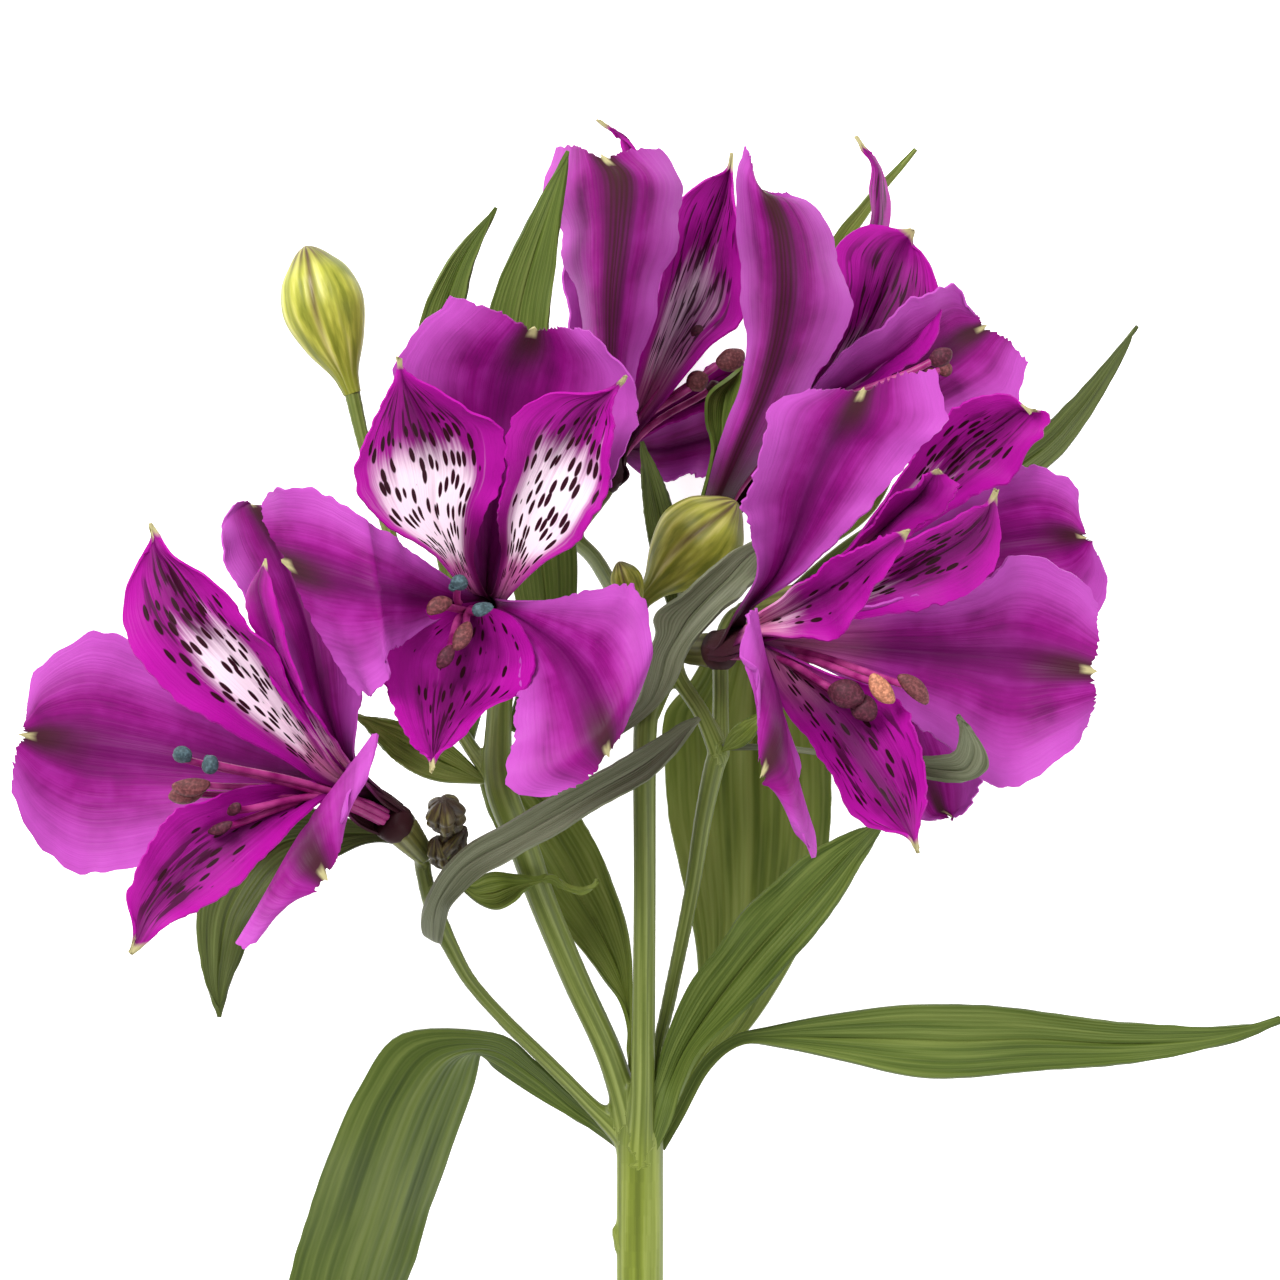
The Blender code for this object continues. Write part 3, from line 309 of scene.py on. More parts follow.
# Leaves given by rows from foot to tip, each the left edge, midrib and right edge as seen from above.
LEAF_ROWS = {
    "leaf_drooping": ("leaf", (
        (616, 1146, 42, 618, 1141, 43, 620, 1136, 44), (598, 1133, 42, 600, 1127, 43, 602, 1119, 44),
        (575, 1120, 43, 572, 1108, 43, 572, 1095, 45), (530, 1092, 42.5, 533, 1075, 44, 535, 1062, 46),
        (494, 1066, 42, 490, 1050, 45, 495, 1034, 47),
        (482, 1048, 41, 445, 1058, 45, 402, 1034, 46), (473, 1085, 37, 415, 1095, 41, 358, 1090, 41),
        (452, 1145, 30, 392, 1150, 34, 330, 1152, 34), (428, 1215, 20, 370, 1215, 24, 308, 1215, 24),
        (406, 1280, 11, 348, 1280, 15, 289, 1280, 14), (382, 1350, 4, 335, 1350, 5.5, 281, 1350, 5.5),
        (360, 1420, 0.5, 320, 1421, 0.5, 284, 1418, 0.5), (335, 1470, 0.4, 313, 1474, 0.4, 294, 1472, 0.4),
        (312, 1514, 0.4, 309, 1516, 0.4, 306, 1514, 0.4))),
    "leaf_right": ("leaf", (
        (658, 1143, 44, 661, 1146, 44, 665, 1150, 44), (674, 1112, 46, 678, 1115, 46, 683, 1119, 46),
        (700, 1062, 49, 705, 1066, 49, 710, 1070, 49),
        (733, 1036, 50, 737, 1041, 50, 742, 1045, 50), (770, 1027, 50, 775, 1037, 49.5, 785, 1048, 50),
        (830, 1015, 49, 838, 1038, 48, 845, 1061, 49), (900, 1006, 48, 905, 1040, 46.5, 910, 1076, 48),
        (960, 1005, 47, 962, 1042, 45.5, 965, 1078, 47), (1030, 1010, 46, 1032, 1040, 45, 1035, 1071, 46),
        (1120, 1022, 44, 1122, 1044, 43, 1125, 1064, 44), (1200, 1027, 41, 1202, 1040, 41, 1205, 1049, 41),
        (1250, 1024, 39, 1252, 1030, 39, 1254, 1034, 39), (1280, 1019, 38, 1284, 1019, 37.5, 1280, 1021, 38))),
    "leaf_diagonal": ("leaf", (
        (643, 1146, 47, 650, 1149, 47, 657, 1150, 47), (649, 1105, 48, 660, 1108, 49, 672, 1118, 48),
        (656, 1075, 50, 670, 1080, 49, 685, 1083, 51), (668, 1035, 53, 687, 1045, 51, 702, 1050, 54),
        (690, 985, 56, 716, 1003, 53, 742, 1012, 57), (722, 942, 58, 752, 957, 56, 788, 964, 60),
        (760, 895, 60, 790, 915, 58, 825, 920, 61), (803, 858, 61, 828, 875, 60, 855, 876, 62),
        (846, 834, 62, 858, 843, 61.5, 872, 846, 62), (876, 824, 62, 879, 824, 62, 881, 827, 62))),
    "leaf_inner": ("young and lit leaf", (
        (634, 1134, 43.5, 636, 1134, 43.5, 638, 1134, 43.5),
        (628, 1062, 43, 630, 1062, 43, 632, 1062, 43), (629, 1030, 43, 630, 1028, 42, 632, 1025, 43),
        (621, 1002, 43, 626, 998, 42, 631, 990, 43), (606, 982, 42.5, 618, 970, 41.5, 631, 955, 42.5),
        (588, 957, 42, 607, 945, 41, 626, 925, 42), (572, 938, 41.5, 594, 920, 40.5, 616, 892, 41.5),
        (552, 915, 41, 578, 893, 40, 604, 863, 41), (530, 885, 41, 560, 862, 40, 590, 833, 41),
        (510, 850, 42, 540, 830, 41, 572, 806, 42), (490, 815, 43, 515, 795, 42, 545, 775, 43),
        (480, 785, 44, 495, 772, 43.5, 510, 760, 44))),
    "leaf_broad": ("young and lit leaf", (
        (645, 1149, 43.5, 647, 1149, 43.5, 649, 1150, 43.5),
        (661, 1124, 41.9, 664, 1125, 41.9, 667, 1126, 41.9), (676, 1085, 41, 682, 1088, 41, 688, 1091, 41),
        (690, 1050, 40, 702, 1055, 39.5, 716, 1058, 40), (698, 1010, 39.5, 724, 1018, 38.5, 748, 1030, 39.5),
        (698, 960, 39, 735, 975, 37.5, 779, 985, 39), (690, 910, 38, 745, 925, 36, 805, 935, 38),
        (678, 860, 37, 748, 870, 35, 822, 880, 37), (669, 815, 36, 749, 820, 34, 830, 828, 36),
        (665, 765, 35, 748, 768, 33, 831, 772, 35), (665, 715, 34.5, 748, 718, 33, 826, 718, 34.5),
        (690, 682, 34, 750, 680, 33, 815, 680, 34), (715, 640, 34, 756, 640, 33.5, 798, 640, 34),
        (755, 600, 33, 760, 598, 33, 765, 600, 33))),
    "bract_long": ("bract", (
        (441, 930, 54.6, 443, 931, 54.6, 445, 932, 54.6),
        (426, 935, 57, 434, 940, 57, 442, 942, 57), (421, 921, 61, 433, 922, 61, 446, 920, 61),
        (425, 905, 65, 437, 903, 64, 452, 905, 65), (433, 887, 67, 448, 884, 66.5, 466, 890, 67),
        (446, 867, 69, 463, 867, 68, 484, 874, 69), (470, 844, 70, 487, 852, 69, 505, 863, 70),
        (501, 827, 70.5, 515, 838, 69.5, 530, 848, 70.5), (541, 803, 71, 552, 817, 70, 560, 832, 71),
        (588, 778, 71, 597, 791, 70, 604, 804, 71), (635, 752, 70, 641, 766, 69, 647, 780, 70),
        (663, 735, 69, 669, 745, 68.5, 674, 755, 69), (682, 723, 68, 686, 730, 67.5, 689, 735, 68),
        (698, 717, 67, 699, 718, 67, 700, 719, 67))),
    "bract_upper": ("bract", (
        (612, 733, 62.5, 615, 735, 62.5, 619, 736, 62.5), (622, 716, 63, 630, 722, 62.8, 640, 722, 63),
        (638, 700, 64, 650, 703, 63.5, 661, 702, 64), (644, 678, 65, 660, 680, 64.5, 676, 681, 65),
        (648, 655, 66, 667, 656, 65, 686, 655, 66), (656, 635, 66.5, 678, 636, 65.5, 700, 634, 66.5),
        (655, 616, 67, 690, 617, 65.5, 722, 611, 66.5), (678, 597, 67, 708, 597, 65.5, 740, 596, 66),
        (703, 575, 66.5, 728, 578, 65, 753, 583, 65), (728, 555, 65.5, 744, 560, 64, 762, 572, 63.5),
        (750, 543, 64, 758, 548, 63, 768, 556, 62), (772, 532, 61, 775, 535, 61, 778, 540, 61))),
    "bract_small": ("young and lit leaf", (
        (444, 878, 59.4, 444, 880, 59.4, 444, 882, 59.4),
        (456, 872, 58, 454, 878, 58, 456, 884, 58), (470, 882, 58, 473, 892, 57, 478, 903, 57),
        (485, 875, 58, 490, 893, 56, 497, 909, 57), (500, 873, 58, 506, 888, 55.5, 514, 901, 57),
        (520, 876, 58, 521, 884, 56.5, 524, 891, 57), (535, 877, 58, 535, 880, 57.5, 537, 884, 57.5),
        (550, 876, 58, 550, 879, 57.5, 551, 882, 57.5), (565, 884, 58, 565, 887, 57.5, 565, 890, 57.5),
        (580, 889, 58, 580, 891, 57.5, 580, 894, 57.5), (591, 886, 58, 592, 887, 57.5, 593, 889, 57.5),
        (597, 879, 58, 598, 880, 58, 599, 881, 58))),
    "leaf_curled": ("bract", (
        (722, 744, 57, 724, 747, 57, 726, 750, 57), (780, 745, 60, 781, 748, 60, 782, 751, 60),
        (850, 753, 64, 850, 756, 64, 850, 760, 64), (905, 756, 70, 905, 764, 69, 905, 773, 70),
        (940, 757, 74, 945, 770, 72, 948, 782, 73), (955, 752, 75, 966, 768, 73, 975, 778, 72),
        (960, 738, 76, 974, 750, 74, 989, 764, 73), (960, 727, 76, 968, 733, 75, 978, 739, 74),
        (957, 717, 76, 958, 715, 76, 960, 717, 76))),
    "leaf_hidden": ("leaf", (
        (683, 570, 33, 687, 572, 33, 691, 574, 33), (700, 505, 33, 706, 507, 32, 712, 509, 33),
        (712, 450, 34, 720, 451, 33, 728, 450, 34), (706, 418, 35, 722, 415, 33, 736, 410, 35),
        (709, 396, 36, 726, 393, 34, 741, 385, 36), (728, 378, 37, 736, 377, 36, 744, 372, 37),
        (743, 367, 37, 745, 366, 37, 746, 367, 37))),
}

# Stalks: points with a radius at each, from the main stem outward.
STALKS = (
    ((0, -9, 42.5, 1.8), (-0.6, -2, 44, 2.2), (-8.2, 6.1, 46, 1.3), (-14.2, 12.3, 48, 1.15),
     (-20.3, 18.4, 50, 1.1), (-25.4, 24.4, 52, 1.1), (-28.4, 30.0, 54, 1.3), (-29.4, 32.0, 54.5, 1.5),
     (-31.1, 36.5, 56, 1.3), (-32.0, 40.5, 56.8, 1.25), (-32.2, 42.5, 57.5, 1.4)),
    ((0, -9, 42.5, 2.4), (-0.6, -1, 45, 2.6), (-4.2, 12.1, 47, 2.1), (-9.6, 24.3, 49.5, 2.1), (-14.6, 36.4, 52, 2.15),
     (-17.1, 43.8, 54, 2.3), (-20.7, 53.5, 56, 2.4), (-21, 63, 52, 2.0), (-20.2, 72, 48.5, 1.9),
     (-19.4, 77.6, 49, 1.8), (-19.3, 79, 51.6, 1.7)),
    ((0, -9, 43, 2.0), (0, -2, 46, 2.3), (0.4, 9.4, 50, 1.9), (0.7, 36.6, 57, 1.7), (0.7, 60.3, 61, 1.8),
     (1.5, 66, 60, 1.8)),
    ((0, -9, 42.5, 2.0), (1.0, -2, 44, 2.2), (2.4, 12, 47, 1.1), (4.3, 21, 49, 1.1), (7.5, 36.6, 52, 1.2),
     (9.3, 48.0, 54.5, 1.4), (10.9, 55.8, 55.5, 1.6), (11.9, 58.7, 56, 1.7)),
    ((11.9, 57.7, 56, 1.6), (9.2, 64, 56, 1.3), (5.8, 69.4, 55, 1.3), (4.9, 73.3, 55.6, 1.4)),
    ((11.9, 57.7, 56, 1.5), (12, 66, 52, 1.3), (12.2, 74, 46.5, 1.3), (13.6, 78, 43.6, 1.3),
     (15.8, 79.3, 43.8, 1.4)),
    ((1.5, 64, 60, 1.5), (0, 74, 52, 1.3), (-6, 86, 36, 1.3), (-9.5, 90, 30.5, 1.3), (-10.5, 91.5, 30, 1.4)),
    ((1.5, 64, 60, 1.5), (5, 72, 50, 1.3), (6.6, 80, 37, 1.3), (6.8, 84.6, 32.6, 1.3),
     (7.2, 85.8, 32.3, 1.4)),
    ((-20.7, 53, 55, 1.4), (-28, 64, 50, 1.1), (-36, 86, 45, 1.1), (-41, 103, 45, 1.1),
     (-43.3, 112.7, 45, 1.3)),
    ((1.5, 65, 60, 1.4), (-1.5, 73, 55, 1.0), (-1.0, 78, 51.5, 1.0), (1.0, 81.5, 50, 1.3)),
    ((1.5, 65, 60, 1.3), (0.5, 73, 59, 0.9), (-0.1, 80.3, 57.2, 0.9)),
    ((-31.1, 35.7, 56, 1.3), (-28.5, 40.3, 60, 1.0), (-27.9, 45.6, 64.5, 1.0)),
)

# Buds: base, tip and largest radius.
BUDS = {
    "bud_left": ((-43.5, 113.3, 45), (-50.2, 134.1, 45), 6.2),
    "bud_middle": ((1.4, 82.0, 50), (14.4, 95.6, 52), 6.5),
    "bud_small": ((-0.4, 80.3, 57.1), (-3.2, 86.6, 57.5), 2.4),
}

# The withered knobs, each seen from above: foot, end and largest radius.
SPENT_KNOBS = (((449, 832, 64), (443, 800, 69), 2.7), ((440, 860, 61), (463, 828, 65), 2.1),
               ((447, 868, 60), (436, 838, 64), 1.9))

# Pollen grains on each kind of anther, in a square metre. An open one is thick with them.
GRAINS = {"teal": 1.5e6, "brown": 2e5, "maroon": 2e5, "tan": 6e5}

# Finishes, by the colours that each shows.
# The throat colour is painted shade: the dark deep in a flower's throat and along its inner tepals' inner edges.
TEPAL_COLOURS = {
    # margin is painted light: the glow through a tepal's thin edge and its lilac sheen.
    "deep": "5E0650", "mid": "8A0A78", "bright": "A81A98", "margin": "B84EB4", "inner margin": "AE0E9A",
    "throat": "3E0424", "pale": "F8E4F0", "blush": "DC86B0", "mark": "2C0214", "blotch": "3E1E20",
    "point": "B8B080", "rib": "38181A", "claw": "361A1C",
}
# Leaf finishes, dark, middle and light. The second is a paler, yellower copy of the first: partly the own colour of
# young leaves and bracts, and partly painted light that lifts leaves lying in the petals' shade.
LEAF_COLOURS = {
    "leaf": ("2E3E0C", "4C5C20", "727E3E"),
    "young and lit leaf": ("3E4E0E", "606E26", "86904A"),
    "dark leaf": ("242E0A", "404A1A", "5E6A34"),
    "bract": ("444A30", "62664E", "80846A"),
}
# What each kind of tepal is given, from 0 to 1: its white ground, the pink of its foot, maroon dashes, maroon
# lines, and a dark inner edge of painted shade (-1 on its left, 1 on its right). The ground lies round centre,
# across the tepal from -1 to 1, out to reach, and from start to end along it. The lines begin at lines_from.
MARKS = {
    "outer": {"pale": 0, "centre": 0, "reach": 1.0, "start": 0.3, "end": 0.7, "pink": 0, "spots": 0,
              "lines": 0, "lines_from": 0.6, "dark": 0},
    "rosy outer": {"pale": 0, "centre": 0, "reach": 1.2, "start": 0.20, "end": 0.7, "pink": 0.62,
                   "spots": 0, "lines": 0, "lines_from": 0.6, "dark": 0},
    "banded": {"pale": 1.0, "centre": 0.0, "reach": 0.80, "start": 0.22, "end": 0.84, "pink": 0.8,
               "spots": 1.0, "lines": 1.0, "lines_from": 0.66, "dark": 0},
    "white left": {"pale": 1.0, "centre": -0.12, "reach": 1.0, "start": 0.28, "end": 0.86, "pink": 0.5,
                   "spots": 1.0, "lines": 0.9, "lines_from": 0.72, "dark": 1},
    "white right": {"pale": 1.0, "centre": 0.12, "reach": 1.0, "start": 0.28, "end": 0.86, "pink": 0.5,
                    "spots": 1.0, "lines": 0.9, "lines_from": 0.72, "dark": -1},
    "streaked": {"pale": 0.55, "centre": 0.0, "reach": 1.0, "start": 0.20, "end": 0.84, "pink": 0.6,
                 "spots": 0, "lines": 1.0, "lines_from": 0.30, "dark": 0},
    "blushed": {"pale": 0.45, "centre": -0.1, "reach": 1.3, "start": 0.20, "end": 0.66, "pink": 1.0,
                "spots": 0.4, "lines": 0, "lines_from": 0.6, "dark": 0},
    "spotted": {"pale": 0.62, "centre": -0.1, "reach": 0.75, "start": 0.28, "end": 0.74, "pink": 0.6,
                "spots": 0.9, "lines": 0.9, "lines_from": 0.58, "dark": 0},
    "lower": {"pale": 0, "centre": 0.1, "reach": 0.8, "start": 0.4, "end": 0.6, "pink": 0,
              "spots": 0.5, "lines": 0.9, "lines_from": 0.56, "dark": 0},
    "rosy lower": {"pale": 0, "centre": 0, "reach": 1.1, "start": 0.22, "end": 0.6, "pink": 0.55,
                   "spots": 0.6, "lines": 0.9, "lines_from": 0.56, "dark": 0},
}
POLLEN_COLOURS = {"teal": "35484E", "brown": "5A2C2E", "maroon": "421022", "tan": "A0684E"}


def linear(code):
    """The linear colour of an sRGB hex code."""
    values = [int(code[k:k + 2], 16) / 255 for k in (0, 2, 4)]
    return tuple(v / 12.92 if v <= 0.04045 else ((v + 0.055) / 1.055) ** 2.4 for v in values) + (1.0,)


def add(tree, kind, inputs=None, stops=None, **settings):
    """A node with its settings. inputs gives a socket, by name or number, a value or what feeds it, and
    stops are a ramp's places and colours."""
    made = tree.nodes.new(kind)
    for name, value in settings.items():
        setattr(made, name, value)
    for name, value in (inputs or {}).items():
        if isinstance(value, bpy.types.NodeSocket):
            tree.links.new(value, made.inputs[name])
        else:
            made.inputs[name].default_value = value
    if stops:
        ramp = made.color_ramp
        while len(ramp.elements) < len(stops):
            ramp.elements.new(1.0)
        for element, (place, colour) in zip(ramp.elements, stops):
            element.position = place
            element.color = colour
    return made


def new_material(name, roughness, specular=0.5):
    made = bpy.data.materials.new(name)
    made.use_nodes = True
    tree = made.node_tree
    shader = tree.nodes["Principled BSDF"]
    shader.inputs["Roughness"].default_value = roughness
    shader.inputs["Specular IOR Level"].default_value = specular
    return made, tree, shader


def tepal_material(name, margin, marked=False, blotch=0.0, rib=0.0):
    """Alstroemeria tepal: thin living tissue with a matt satin skin, fine parallel veins, and light that
    passes through it. margin is the hue at the edge, painted lighter for the glow of light through the thin
    edge and a lilac sheen. A marked one wears the white ground, dashes and lines that its points ask for, and
    painted shade on its inner edge. blotch is the green-brown end and rib the brown-green band on the back of an
    outer one."""
    made, tree, shader = new_material(name, 0.52, 0.14)
    hue = {key: linear(code) for key, code in TEPAL_COLOURS.items()}
    across, along, spread, run, seed = (add(tree, "ShaderNodeAttribute", attribute_name=key).outputs["Fac"]
                                        for key in ("across", "along", "spread_mm", "run_mm", "seed"))
    side = add(tree, "ShaderNodeMath", {0: across}, operation="ABSOLUTE").outputs[0]

    # Broad soft streaks, 2 to 3 mm wide, and the fine veins, 0.5 mm apart, both along the blade.
    wide = add(tree, "ShaderNodeMath", {0: across, 1: 6.0}, operation="MULTIPLY").outputs[0]
    fine = add(tree, "ShaderNodeMath", {0: across, 1: 34.0}, operation="MULTIPLY").outputs[0]
    slow = add(tree, "ShaderNodeMath", {0: along, 1: 3.0}, operation="MULTIPLY").outputs[0]
    streak_place = add(tree, "ShaderNodeCombineXYZ", {0: wide, 1: slow, 2: seed}).outputs[0]
    vein_place = add(tree, "ShaderNodeCombineXYZ", {0: fine, 1: slow, 2: seed}).outputs[0]
    streak = add(tree, "ShaderNodeTexNoise", {"Vector": streak_place, "Scale": 1.0, "Detail": 3.0}).outputs[0]
    vein = add(tree, "ShaderNodeTexNoise", {"Vector": vein_place, "Scale": 1.0, "Detail": 2.0}).outputs[0]
    place = add(tree, "ShaderNodeTexCoord").outputs["Object"]
    cloud = add(tree, "ShaderNodeTexNoise", {"Vector": place, "Scale": 160.0, "Detail": 3.0}).outputs[0]
    soft = add(tree, "ShaderNodeMix", {0: 0.3, 2: streak, 3: vein}, data_type="FLOAT").outputs[0]
    tone = add(tree, "ShaderNodeMix", {0: 0.45, 2: soft, 3: cloud}, data_type="FLOAT").outputs[0]
    colour = add(tree, "ShaderNodeValToRGB", {"Fac": tone},
                 stops=((0.28, hue["deep"]), (0.48, hue["mid"]), (0.70, hue["bright"]))).outputs["Color"]

    # The margin is painted lighter, for the glow of light through the thin edge and a lilac sheen, and the midrib is a
    # darker purple that fades out to the sides.
    edge = add(tree, "ShaderNodeMapRange", {0: side, 1: 0.30, 2: 1.0, 3: 0.0, 4: 0.85},
               interpolation_type="SMOOTHSTEP").outputs[0]
    edge = add(tree, "ShaderNodeMath", {0: tone, 1: 1.1, 2: edge}, operation="MULTIPLY_ADD").outputs[0]
    edge = add(tree, "ShaderNodeMapRange", {0: edge, 1: 0.55, 2: 1.4, 3: 0.0, 4: 1.0}).outputs[0]
    colour = add(tree, "ShaderNodeMix", {0: edge, 6: colour, 7: hue[margin]}, data_type="RGBA").outputs[2]
    middle = add(tree, "ShaderNodeMapRange", {0: side, 1: 0.0, 2: 0.40, 3: 0.75, 4: 0.0},
                 interpolation_type="SMOOTHSTEP").outputs[0]
    colour = add(tree, "ShaderNodeMix", {0: middle, 6: colour, 7: hue["deep"]}, data_type="RGBA").outputs[2]

    # A pink foot, crossed by darker veins.
    pink = add(tree, "ShaderNodeAttribute", attribute_name="pink").outputs["Fac"]
    crossed = add(tree, "ShaderNodeMapRange", {0: soft, 1: 0.40, 2: 0.55, 3: 0.55, 4: 1.0}).outputs[0]
    crossed = add(tree, "ShaderNodeMath", {0: crossed, 1: pink}, operation="MULTIPLY").outputs[0]
    colour = add(tree, "ShaderNodeMix", {0: crossed, 6: colour, 7: hue["blush"]}, data_type="RGBA").outputs[2]

    if marked:
        pale, dark, spots, lines = (add(tree, "ShaderNodeAttribute", attribute_name=key).outputs["Fac"]
                                    for key in ("pale", "dark", "spots", "lines"))
        # The white ground breaks up into streaks at its edge.
        ragged = add(tree, "ShaderNodeMath", {0: soft, 1: 1.4, 2: pale}, operation="MULTIPLY_ADD").outputs[0]
        ground = add(tree, "ShaderNodeMapRange", {0: ragged, 1: 0.90, 2: 1.65, 3: 0.0, 4: 1.0},
                     interpolation_type="SMOOTHSTEP").outputs[0]
        colour = add(tree, "ShaderNodeMix", {0: ground, 6: colour, 7: hue["pale"]}, data_type="RGBA").outputs[2]
        # Painted shade: the inner edge goes to the dark throat colour towards the foot.
        colour = add(tree, "ShaderNodeMix", {0: dark, 6: colour, 7: hue["throat"]}, data_type="RGBA").outputs[2]
        # Dashes about 0.8 mm wide and 2.5 mm long, in cells of 1.2 by 3.8 mm that narrow to the foot.
        cell_x = add(tree, "ShaderNodeMath", {0: spread, 1: 1 / 1.2}, operation="MULTIPLY").outputs[0]
        cell_y = add(tree, "ShaderNodeMath", {0: run, 1: 1 / 3.8, 2: seed}, operation="MULTIPLY_ADD").outputs[0]
        cell = add(tree, "ShaderNodeCombineXYZ", {0: cell_x, 1: cell_y}).outputs[0]
        cells = add(tree, "ShaderNodeTexVoronoi", {"Vector": cell, "Scale": 1.0, "Randomness": 0.75},
                    voronoi_dimensions="2D")
        luck = add(tree, "ShaderNodeSeparateColor", {0: cells.outputs["Color"]}).outputs[0]
        chance = add(tree, "ShaderNodeMath", {0: luck, 1: spots}, operation="ADD").outputs[0]
        size = add(tree, "ShaderNodeMapRange", {0: chance, 1: 1.0, 2: 1.35, 3: -0.1, 4: 0.34}).outputs[0]
        inside = add(tree, "ShaderNodeMath", {0: size, 1: cells.outputs["Distance"]},
                     operation="SUBTRACT").outputs[0]
        dash = add(tree, "ShaderNodeMapRange", {0: inside, 1: -0.02, 2: 0.06, 3: 0.0, 4: 1.0}).outputs[0]
        # Lines along the veins towards the point, 0.8 mm wide and up to 9 mm long.
        line_x = add(tree, "ShaderNodeMath", {0: spread, 1: 1.3}, operation="MULTIPLY").outputs[0]
        line_y = add(tree, "ShaderNodeMath", {0: run, 1: 0.15}, operation="MULTIPLY").outputs[0]
        line = add(tree, "ShaderNodeCombineXYZ", {0: line_x, 1: line_y, 2: seed}).outputs[0]
        grain = add(tree, "ShaderNodeTexNoise", {"Vector": line, "Scale": 1.0, "Detail": 1.0}).outputs[0]
        band = add(tree, "ShaderNodeMapRange", {0: grain, 1: 0.54, 2: 0.60, 3: 0.0, 4: 0.9}).outputs[0]
        band = add(tree, "ShaderNodeMath", {0: band, 1: lines}, operation="MULTIPLY").outputs[0]
        mark = add(tree, "ShaderNodeMath", {0: dash, 1: band}, operation="MAXIMUM").outputs[0]
        colour = add(tree, "ShaderNodeMix", {0: mark, 6: colour, 7: hue["mark"]}, data_type="RGBA").outputs[2]

    if rib:
        # The back of an outer tepal: brown-green stripes along its middle, 1.2 mm apart.
        stripe = add(tree, "ShaderNodeMath", {0: spread, 1: 5.2}, operation="MULTIPLY").outputs[0]
        stripe = add(tree, "ShaderNodeMath", {0: stripe}, operation="SINE").outputs[0]
        stripe = add(tree, "ShaderNodeMapRange", {0: stripe, 1: -1.0, 2: 1.0, 3: 0.6, 4: 1.0}).outputs[0]
        band = add(tree, "ShaderNodeMapRange", {0: side, 1: 0.06, 2: 0.40, 3: rib, 4: 0.0},
                   interpolation_type="SMOOTHSTEP").outputs[0]
        band = add(tree, "ShaderNodeMath", {0: band, 1: stripe}, operation="MULTIPLY").outputs[0]
        colour = add(tree, "ShaderNodeMix", {0: band, 6: colour, 7: hue["rib"]}, data_type="RGBA").outputs[2]

    # The throat is painted dark for the shade deep in the flower, save under a pink foot, and the claw is brown.
    throat = add(tree, "ShaderNodeMapRange", {0: along, 1: 0.14, 2: 0.38, 3: 0.85, 4: 0.0},
                 interpolation_type="SMOOTHSTEP").outputs[0]
    bare = add(tree, "ShaderNodeMath", {0: 1.0, 1: pink}, operation="SUBTRACT").outputs[0]
    throat = add(tree, "ShaderNodeMath", {0: throat, 1: bare}, operation="MULTIPLY").outputs[0]
    colour = add(tree, "ShaderNodeMix", {0: throat, 6: colour, 7: hue["throat"]}, data_type="RGBA").outputs[2]
    claw = add(tree, "ShaderNodeMapRange", {0: along, 1: 0.08, 2: 0.18, 3: 0.9, 4: 0.0},
               interpolation_type="SMOOTHSTEP").outputs[0]
    colour = add(tree, "ShaderNodeMix", {0: claw, 6: colour, 7: hue["claw"]}, data_type="RGBA").outputs[2]
    if blotch:
        near = add(tree, "ShaderNodeMapRange", {0: along, 1: 0.78, 2: 0.97, 3: 0.0, 4: blotch},
                   interpolation_type="SMOOTHSTEP").outputs[0]
        narrow = add(tree, "ShaderNodeMapRange", {0: side, 1: 0.04, 2: 0.30, 3: 1.0, 4: 0.0},
                     interpolation_type="SMOOTHSTEP").outputs[0]
        near = add(tree, "ShaderNodeMath", {0: near, 1: narrow}, operation="MULTIPLY").outputs[0]
        colour = add(tree, "ShaderNodeMix", {0: near, 6: colour, 7: hue["blotch"]},
                     data_type="RGBA").outputs[2]
    point = add(tree, "ShaderNodeMapRange", {0: along, 1: 0.97, 2: 0.985, 3: 0.0, 4: 1.0}).outputs[0]
    slim = add(tree, "ShaderNodeMapRange", {0: side, 1: 0.03, 2: 0.08, 3: 1.0,
                                            4: 0.0 if blotch else 1.0}).outputs[0]
    point = add(tree, "ShaderNodeMath", {0: point, 1: slim}, operation="MULTIPLY").outputs[0]
    colour = add(tree, "ShaderNodeMix", {0: point, 6: colour, 7: hue["point"]}, data_type="RGBA").outputs[2]

    # Relief of the veins, with a finer grain of cells between them.
    relief = add(tree, "ShaderNodeMath", {0: vein, 1: 1.2, 2: soft}, operation="MULTIPLY_ADD").outputs[0]
    bump = add(tree, "ShaderNodeBump", {"Strength": 0.22, "Distance": 0.0004, "Height": relief}).outputs[0]
    tree.links.new(bump, shader.inputs["Normal"])
    tree.links.new(colour, shader.inputs["Base Color"])
    through_light = add(tree, "ShaderNodeBsdfTranslucent", {"Color": colour, "Normal": bump}).outputs[0]
    mixed = add(tree, "ShaderNodeMixShader", {0: 0.28, 1: shader.outputs[0], 2: through_light}).outputs[0]
    tree.links.new(mixed, tree.nodes["Material Output"].inputs["Surface"])
    return made


